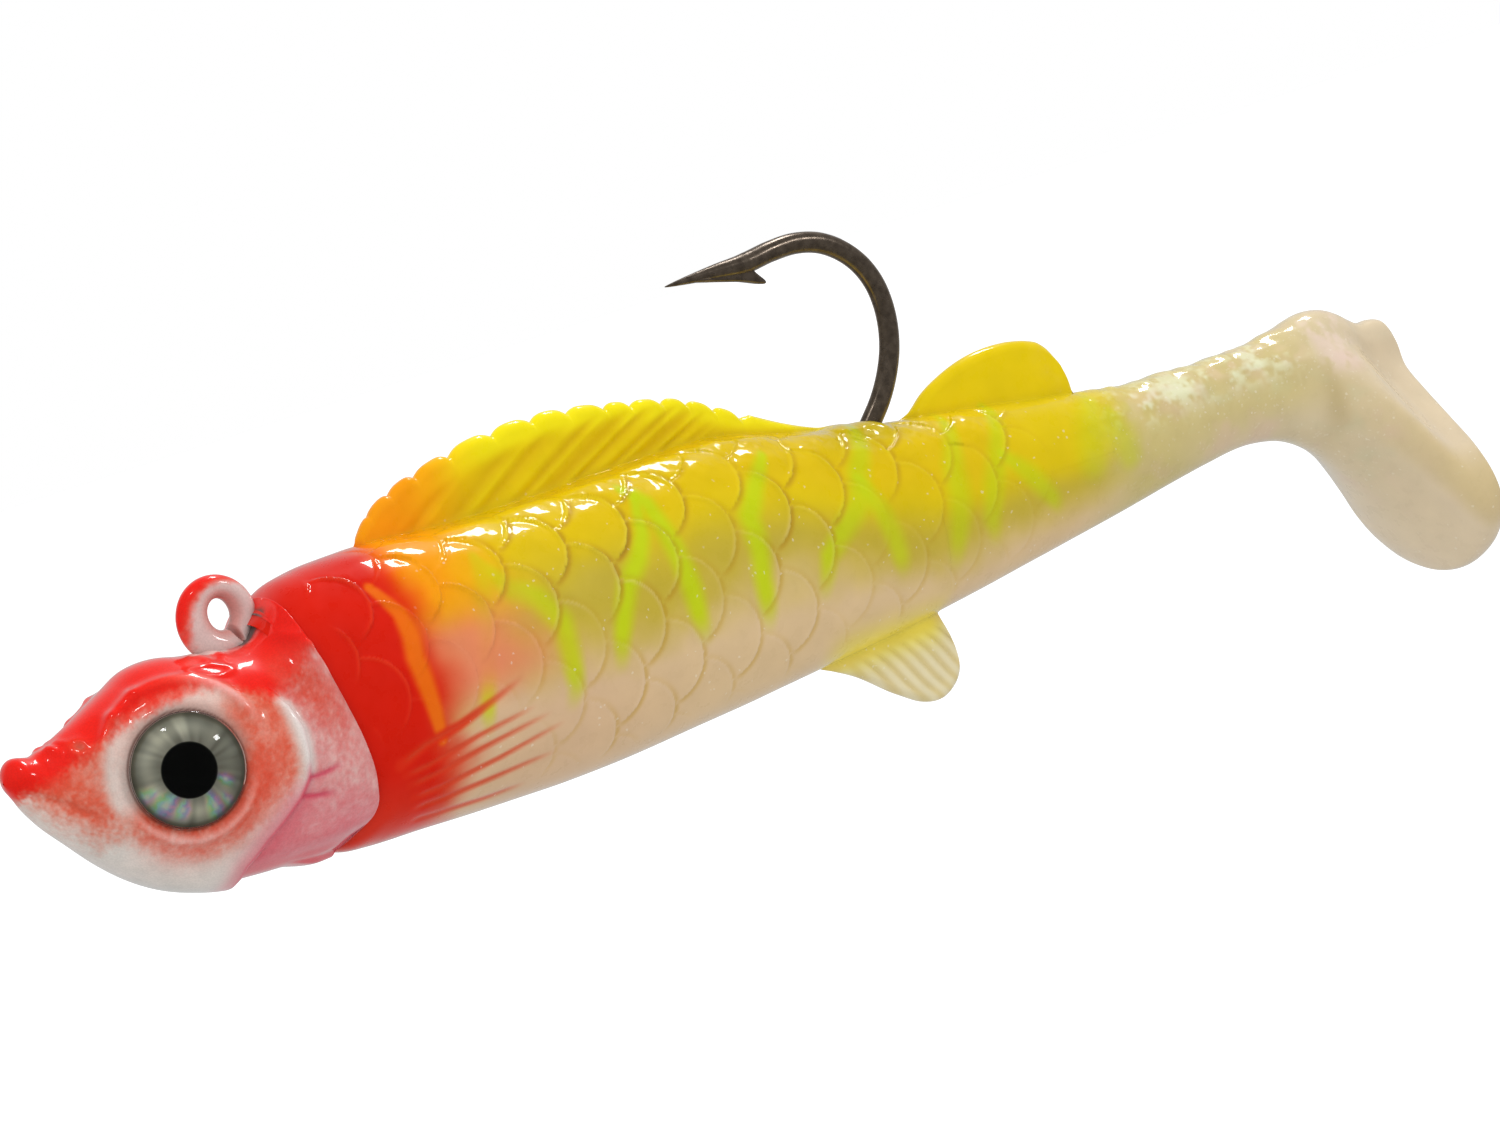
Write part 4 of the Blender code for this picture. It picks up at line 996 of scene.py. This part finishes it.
def iris_paint(radius, angle):
    """Silver foil with painted glints at its lower edge, white and rainbow highlights, and a painted lit band
    round the pupil.
    """
    angle = angle % (2 * math.pi)
    x, y = radius * np.cos(angle), radius * np.sin(angle)
    cloud = noise(x, y, x * 0, 0.7, 3.0)
    spoke = noise(np.cos(angle) * 4, np.sin(angle) * 4, radius * 0.15, 0.5, 1.0)
    ring = bell(radius, 1.8, 0.4)
    # painted light: the band round the pupil is brighter towards the lower left
    lit = bell(angle, 3.9, 1.0) + 0.5 * bell(angle, 1.9, 0.8)
    grey = 0.52 + 0.08 * cloud + 0.24 * (spoke - 0.3) + (0.3 + 1.5 * lit) * ring * (0.14 + 0.24 * spoke)
    base = np.stack([grey, grey * 0.985, grey * 0.89], axis=-1)
    sparkle = eased(noise(x, y, x * 0, 0.14, 5.0), 0.35, 0.65)
    for turn, turn_spread, reach, reach_spread, strength in IRIS_GLINTS:
        glint = bell(angle, turn, turn_spread) * bell(radius, reach, reach_spread)
        base = tint(base, (0.97, 0.98, 0.92), strength * glint)
        hue = 0.5 + (angle - turn) / (4 * turn_spread) + 0.15 * sparkle
        wheel = [np.clip(np.abs((hue + shift) % 1.0 * 6 - 3) - 1, 0, 1) for shift in (0.0, 0.667, 0.333)]
        coloured = strength * glint * (1 - glint) * 1.3 * (strength > 0.5)
        base = base + (0.3 + 0.7 * np.stack(wheel, axis=-1) - base) * np.clip(coloured, 0, 0.5)[..., None]
    return tint(base, (0.36, 0.33, 0.26), 0.6 * eased(radius, 2.2, 2.44))


def swept_wire(name, line, radii, flat, material):
    """A wire in the mid plane through (station, height) points, with a radius and a flatness at each."""
    along = np.gradient(line, axis=0)
    along = along / np.linalg.norm(along, axis=1, keepdims=True)
    across = np.stack([-along[:, 1], along[:, 0]], axis=1)
    turn = np.linspace(0, 2 * math.pi, 40, endpoint=False)[None, :]
    station = line[:, :1] + across[:, :1] * radii[:, None] * np.cos(turn)
    height = line[:, 1:] + across[:, 1:] * radii[:, None] * np.cos(turn)
    width = -radii[:, None] * flat[:, None] * np.sin(turn)
    return grid_object(name, place(station, width, height), material)


def make_hook(material):
    """The bare wire of the hook with its ground point and its barb."""
    line = by_length(HOOK_ROUTE, 900)
    length = np.concatenate([[0], np.cumsum(np.hypot(*np.diff(line, axis=0).T))])
    to_tip = length[-1] - length
    taper = np.clip(to_tip / POINT_LENGTH, 0, 1) ** 0.8
    radii = TIP_RADIUS + (WIRE_RADIUS - TIP_RADIUS) * taper
    flat = 1 - 0.12 * between(to_tip, 5.0, 7.0, 20.0, 24.0)
    wire = swept_wire("hook_wire", line, radii, flat, material)
    outline = by_length([*BARB, BARB[0]], 120)
    centre = outline.mean(axis=0)
    rings = []
    for width, share in BARB_RINGS:
        ring = centre + (outline[:-1] - centre) * share
        rings.append(place(ring[:, 0], np.full(len(ring), width), ring[:, 1]))
    return wire, grid_object("hook_barb", np.array(rings), material)


# ---------------------------------------------------------------- materials

class Nodes:
    """Short calls that add nodes to a tree."""

    def __init__(self, tree):
        self.tree = tree

    def add(self, kind, inputs=None, **settings):
        """A node with its settings and its sockets, each a value or another node's socket."""
        node = self.tree.nodes.new(f"ShaderNode{kind}")
        for setting, value in settings.items():
            setattr(node, setting, value)
        for socket, value in (inputs or {}).items():
            self.put(node.inputs[socket], value)
        return node

    def put(self, socket, value):
        """Links a socket or sets its value."""
        if isinstance(value, bpy.types.NodeSocket):
            self.tree.links.new(value, socket)
        else:
            socket.default_value = value

    def mask(self, name):
        """A float the mesh holds at each point."""
        return self.add("Attribute", attribute_name=name).outputs["Fac"]

    def paint(self):
        """The colours the mesh holds at each point."""
        return self.add("Attribute", attribute_name="Paint").outputs["Color"]

    def noise(self, size_mm, detail=3.0):
        """Noise with lumps of a size in millimetres, from 0 to 1."""
        where = self.add("TexCoord").outputs["Object"]
        made = self.add("TexNoise", {"Vector": where, "Scale": 1000 / size_mm, "Detail": detail})
        return made.outputs["Fac"]

    def cells(self, size_mm):
        """A random number for each small cell."""
        where = self.add("TexCoord").outputs["Object"]
        made = self.add("TexVoronoi", {"Vector": where, "Scale": 1000 / size_mm})
        return self.add("SeparateColor", {0: made.outputs["Color"]}).outputs[0]

    def ranged(self, value, low, high, to_low=0.0, to_high=1.0):
        """A value mapped from one range to another, held at its ends."""
        made = self.add("MapRange", {0: value, 1: low, 2: high, 3: to_low, 4: to_high})
        return made.outputs[0]

    def math(self, operation, a, b):
        """One sum of two values."""
        return self.add("Math", {0: a, 1: b}, operation=operation).outputs[0]

    def mix(self, weight, a, b, blend="MIX"):
        """Two colours mixed."""
        made = self.add("Mix", {0: weight, 6: a, 7: b}, data_type="RGBA", blend_type=blend)
        return made.outputs[2]

    def mottled(self, colour, shade):
        """A colour darkened and lightened by a value about 1."""
        grey = self.add("CombineColor", {0: shade, 1: shade, 2: shade}).outputs[0]
        return self.mix(1.0, colour, grey, "MULTIPLY")

    def bump(self, height, distance_mm, strength):
        """A bump from a height, as deep as a distance in millimetres."""
        made = self.add("Bump", {"Height": height, "Strength": strength, "Distance": distance_mm * MM})
        return made.outputs[0]


class Paint(Nodes):
    """A new material and its Principled shader."""

    def __init__(self, name):
        self.material = bpy.data.materials.new(name)
        self.material.use_nodes = True
        super().__init__(self.material.node_tree)
        self.shader = self.tree.nodes["Principled BSDF"]

    def set(self, **inputs):
        """Sets the Principled shader's own sockets, with _ for spaces."""
        for socket, value in inputs.items():
            self.put(self.shader.inputs[socket.replace("_", " ")], value)


def soft_plastic():
    """Glossy soft vinyl: airbrushed paint, pearl flakes and sparse glitter under a wet-looking skin."""
    n = Paint("soft_vinyl")
    colour = n.mottled(n.paint(), n.ranged(n.noise(1.4), 0.3, 0.7, 0.96, 1.03))
    pearl = n.mask("Pearl")
    swirl = n.noise(2.4, 2.0)
    green = n.math("MULTIPLY", n.ranged(swirl, 0.55, 0.70), n.math("MULTIPLY", pearl, 0.16))
    pink = n.math("MULTIPLY", n.ranged(swirl, 0.45, 0.30), n.math("MULTIPLY", pearl, 0.22))
    colour = n.mix(green, colour, (0.52, 0.66, 0.42, 1))
    colour = n.mix(pink, colour, (0.80, 0.50, 0.50, 1))
    cells = n.cells(0.10)
    sparse = n.math("MULTIPLY", n.ranged(cells, 0.9955, 0.9965), 0.28)
    dense = n.math("MULTIPLY", n.ranged(cells, 0.96, 0.97), n.math("MULTIPLY", pearl, 0.14))
    flake = n.math("MAXIMUM", n.math("MULTIPLY", sparse, n.mask("Glitter")), dense)
    n.set(Base_Color=n.mix(flake, colour, (1.0, 0.95, 0.82, 1)), Specular_IOR_Level=0.1)
    n.set(Roughness=n.ranged(n.noise(0.7), 0.3, 0.7, 0.24, 0.38), Coat_Weight=0.9, Coat_Roughness=0.05)
    n.set(Normal=n.bump(n.noise(0.35), 0.012, 0.2))
    return n.material


def head_enamel():
    """Glossy enamel over lead; bare lead where the mask says."""
    n = Paint("head_enamel")
    lead = n.mask("Lead")
    speck = n.ranged(n.noise(0.09, 1.0), 0.35, 0.65, 0.95, 1.04)
    n.set(Base_Color=n.mottled(n.paint(), speck), Metallic=n.math("MULTIPLY", lead, 0.2))
    n.set(Roughness=n.ranged(lead, 0.0, 1.0, 0.3, 0.6), Specular_IOR_Level=0.2)
    n.set(Coat_Weight=n.ranged(lead, 0.0, 1.0, 1.0, 0.4), Coat_Roughness=0.05)
    n.set(Normal=n.bump(n.noise(0.5, 4.0), 0.03, 0.35))
    return n.material


def iris_foil():
    """Printed holographic foil, with a flat black pupil."""
    n = Paint("iris_foil")
    n.set(Base_Color=n.paint(), Metallic=n.ranged(n.mask("Pupil"), 0.0, 1.0, 0.15, 0.0))
    n.set(Roughness=n.ranged(n.noise(0.2), 0.3, 0.7, 0.28, 0.45), Specular_IOR_Level=0.3)
    n.set(Normal=n.bump(n.noise(0.12), 0.01, 0.3))
    return n.material


def clear_resin():
    """A clear dome that lamps shine through: a mirror-like skin over what lies under it."""
    n = Paint("clear_resin")
    n.set(Base_Color=(1, 1, 1, 1), Metallic=1.0, Roughness=n.ranged(n.noise(0.8), 0.3, 0.7, 0.01, 0.05))
    clear = n.add("BsdfTransparent", {"Color": (0.96, 0.97, 0.96, 1)})
    fresnel = n.add("Fresnel", {"IOR": 1.5, "Normal": n.bump(n.noise(1.2), 0.01, 0.3)})
    both = n.add("MixShader", {0: fresnel.outputs[0], 1: clear.outputs[0], 2: n.shader.outputs[0]})
    n.put(n.tree.nodes["Material Output"].inputs["Surface"], both.outputs[0])
    return n.material


def black_nickel():
    """Dark nickel plating with faint drawing lines and brown reflections."""
    n = Paint("black_nickel")
    haze = n.noise(0.35, 4.0)
    n.set(Base_Color=n.mix(n.ranged(haze, 0.3, 0.7), (0.13, 0.10, 0.075, 1), (0.21, 0.165, 0.125, 1)))
    n.set(Metallic=n.ranged(haze, 0.0, 1.0, 0.72, 0.6))
    n.set(Roughness=n.ranged(n.noise(0.25), 0.3, 0.7, 0.16, 0.30))
    n.set(Normal=n.bump(n.noise(0.2, 3.0), 0.008, 0.3))
    return n.material


def adhesive_foam():
    """The grey foam pad under a stick-on eye: open cells and a dull skin."""
    n = Paint("adhesive_foam")
    cells = n.cells(0.12)
    n.set(Base_Color=n.mix(cells, (0.30, 0.30, 0.29, 1), (0.45, 0.45, 0.43, 1)))
    n.set(Roughness=n.ranged(n.noise(0.3), 0.3, 0.7, 0.75, 0.95))
    n.set(Normal=n.bump(cells, 0.03, 0.6))
    return n.material


def floor_paint():
    """Plain pale studio floor, lit up evenly where the camera sees it."""
    n = Paint("studio_floor")
    glow = n.math("MULTIPLY", n.add("LightPath").outputs["Is Camera Ray"], 0.55)
    n.set(Base_Color=(0.62, 0.62, 0.62, 1), Roughness=0.9, Specular_IOR_Level=0.1)
    n.set(Emission_Color=(1, 1, 1, 1), Emission_Strength=glow)
    return n.material


# ---------------------------------------------------------------- stage

def make_camera():
    """The camera at the photograph's angle, and its directions to the right, up and back."""
    level = Vector((math.cos(CAMERA_YAW), -math.sin(CAMERA_YAW), 0))
    flat = Vector((-math.sin(CAMERA_YAW), -math.cos(CAMERA_YAW), 0)) * math.cos(CAMERA_RISE)
    back = flat + Vector((0, 0, math.sin(CAMERA_RISE)))
    upright = back.cross(level)
    right = level * math.cos(CAMERA_ROLL) - upright * math.sin(CAMERA_ROLL)
    up = level * math.sin(CAMERA_ROLL) + upright * math.cos(CAMERA_ROLL)
    data = bpy.data.cameras.new("camera")
    data.lens, data.sensor_width = CAMERA_LENS, 36
    data.clip_start, data.clip_end = 0.01, 20
    camera = show(data, "camera")
    turned = Matrix((right, up, back)).transposed().to_4x4()
    camera.matrix_world = Matrix.Translation(FOCUS + back * CAMERA_DISTANCE) @ turned
    bpy.context.scene.camera = camera
    return right, up, back


def area_light(name, where, size, power):
    """A soft rectangular light that faces the object."""
    data = bpy.data.lights.new(name, "AREA")
    data.shape = "RECTANGLE"
    data.size, data.size_y = size
    data.energy = power
    lamp = show(data, name)
    lamp.location = where
    lamp.rotation_euler = (FOCUS - where).to_track_quat("-Z", "Y").to_euler()
    return lamp


def make_world(backdrop):
    """White to the camera, a soft sky brighter above, and dark reflections but for a pale backdrop."""
    world = bpy.data.worlds.new("studio")
    bpy.context.scene.world = world
    world.use_nodes = True
    world.cycles.sampling_method = "NONE"
    n = Nodes(world.node_tree)
    n.tree.nodes.clear()
    where = n.add("TexCoord").outputs["Generated"]
    height = n.add("SeparateXYZ", {0: where}).outputs["Z"]
    facing = n.add("VectorMath", {0: where, 1: backdrop}, operation="DOT_PRODUCT").outputs["Value"]
    reflected, sky, white = (
        n.add("Background", {"Color": (1, 1, 1, 1), "Strength": strength}).outputs[0]
        for strength in (n.ranged(facing, *BACKDROP), n.ranged(height, *SKY), 1.0)
    )
    ray = n.add("LightPath").outputs
    lit = n.add("MixShader", {0: ray["Is Diffuse Ray"], 1: reflected, 2: sky}).outputs[0]
    seen = n.add("MixShader", {0: ray["Is Camera Ray"], 1: lit, 2: white}).outputs[0]
    n.add("OutputWorld", {"Surface": seen})


def make_floor(material):
    """A large pale floor well below the lure."""
    square = ((-1, -1), (1, -1), (1, 1), (-1, 1))
    corners = [(x * FLOOR_HALF, y * FLOOR_HALF, FLOOR_HEIGHT) for x, y in square]
    mesh = bpy.data.meshes.new("floor")
    mesh.from_pydata(corners, [], [(0, 1, 2, 3)])
    mesh.materials.append(material)
    floor = show(mesh, "floor")
    floor.visible_glossy = False


def dress_body(material):
    """The soft body's skin: the front lengths ride on the trunk, and the rest stay where they were built,
    over the hidden CAD pieces.
    """
    *rigid, rear, stem, paddle = make_body(material)
    for piece in rigid:
        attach(piece, "trunk")
        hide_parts("body_front")
    for piece, bodies, bend, nodes in (
        (rear, ("trunk", "rear"), "body_flex", ("body_front", "body_rear")),
        (stem, ("rear", "stem"), "stem_flex", ("body_rear", "tail_stem")),
        (paddle, ("stem", "paddle"), "paddle_flex", ("tail_stem", "tail_paddle")),
    ):
        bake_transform(piece)
        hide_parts(*nodes)


def dress_head(enamel, nickel):
    """The head with its line tie and the hook."""
    head, ring = make_head(enamel), make_ring(enamel)
    wire, barb = make_hook(nickel)
    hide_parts("jig_head")
    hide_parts("hook")
    for piece in (head, ring, wire, barb):
        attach(piece, "trunk")
    return head, ring, wire, barb


def dress_eyes(frame, resin, foil, foam):
    """Both stick-on eyes, and the foam on the CAD's own pads under them."""
    lenses = []
    for side, name in ((-1, "left"), (1, "right")):
        lens, iris = make_eye(side, name, resin, foil)
        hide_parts(f"eye_lens_{name}")
        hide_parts(f"eye_foil_{name}")
        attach(lens, "trunk")
        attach(iris, "trunk")
        lenses.append(lens)
        pad = frame["nodes"][f"eye_pad_{name}"]
        pad.data.materials.clear()
        pad.data.materials.append(foam)
    return lenses


def light_stage(hard):
    """The camera, the world, the floor and the lamps, some of which light the hard pieces only."""
    right, up, back = make_camera()
    make_world(-back)
    make_floor(floor_paint())
    hard_pieces = bpy.data.collections.new("hard_pieces")
    for piece in hard:
        hard_pieces.objects.link(piece)
    for name, (across, above, near), size, power, lit in LAMPS:
        lamp = area_light(name, FOCUS + right * across + up * above + back * near, size, power)
        if lit == "hard":
            lamp.light_linking.receiver_collection = hard_pieces
    bpy.context.scene.view_settings.view_transform = "Standard"


def main():
    """Builds every visible piece with its material, then the stage."""
    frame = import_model()
    dress_body(soft_plastic())
    hard = dress_head(head_enamel(), black_nickel())
    lenses = dress_eyes(frame, clear_resin(), iris_foil(), adhesive_foam())
    light_stage([*hard, *lenses])


main()
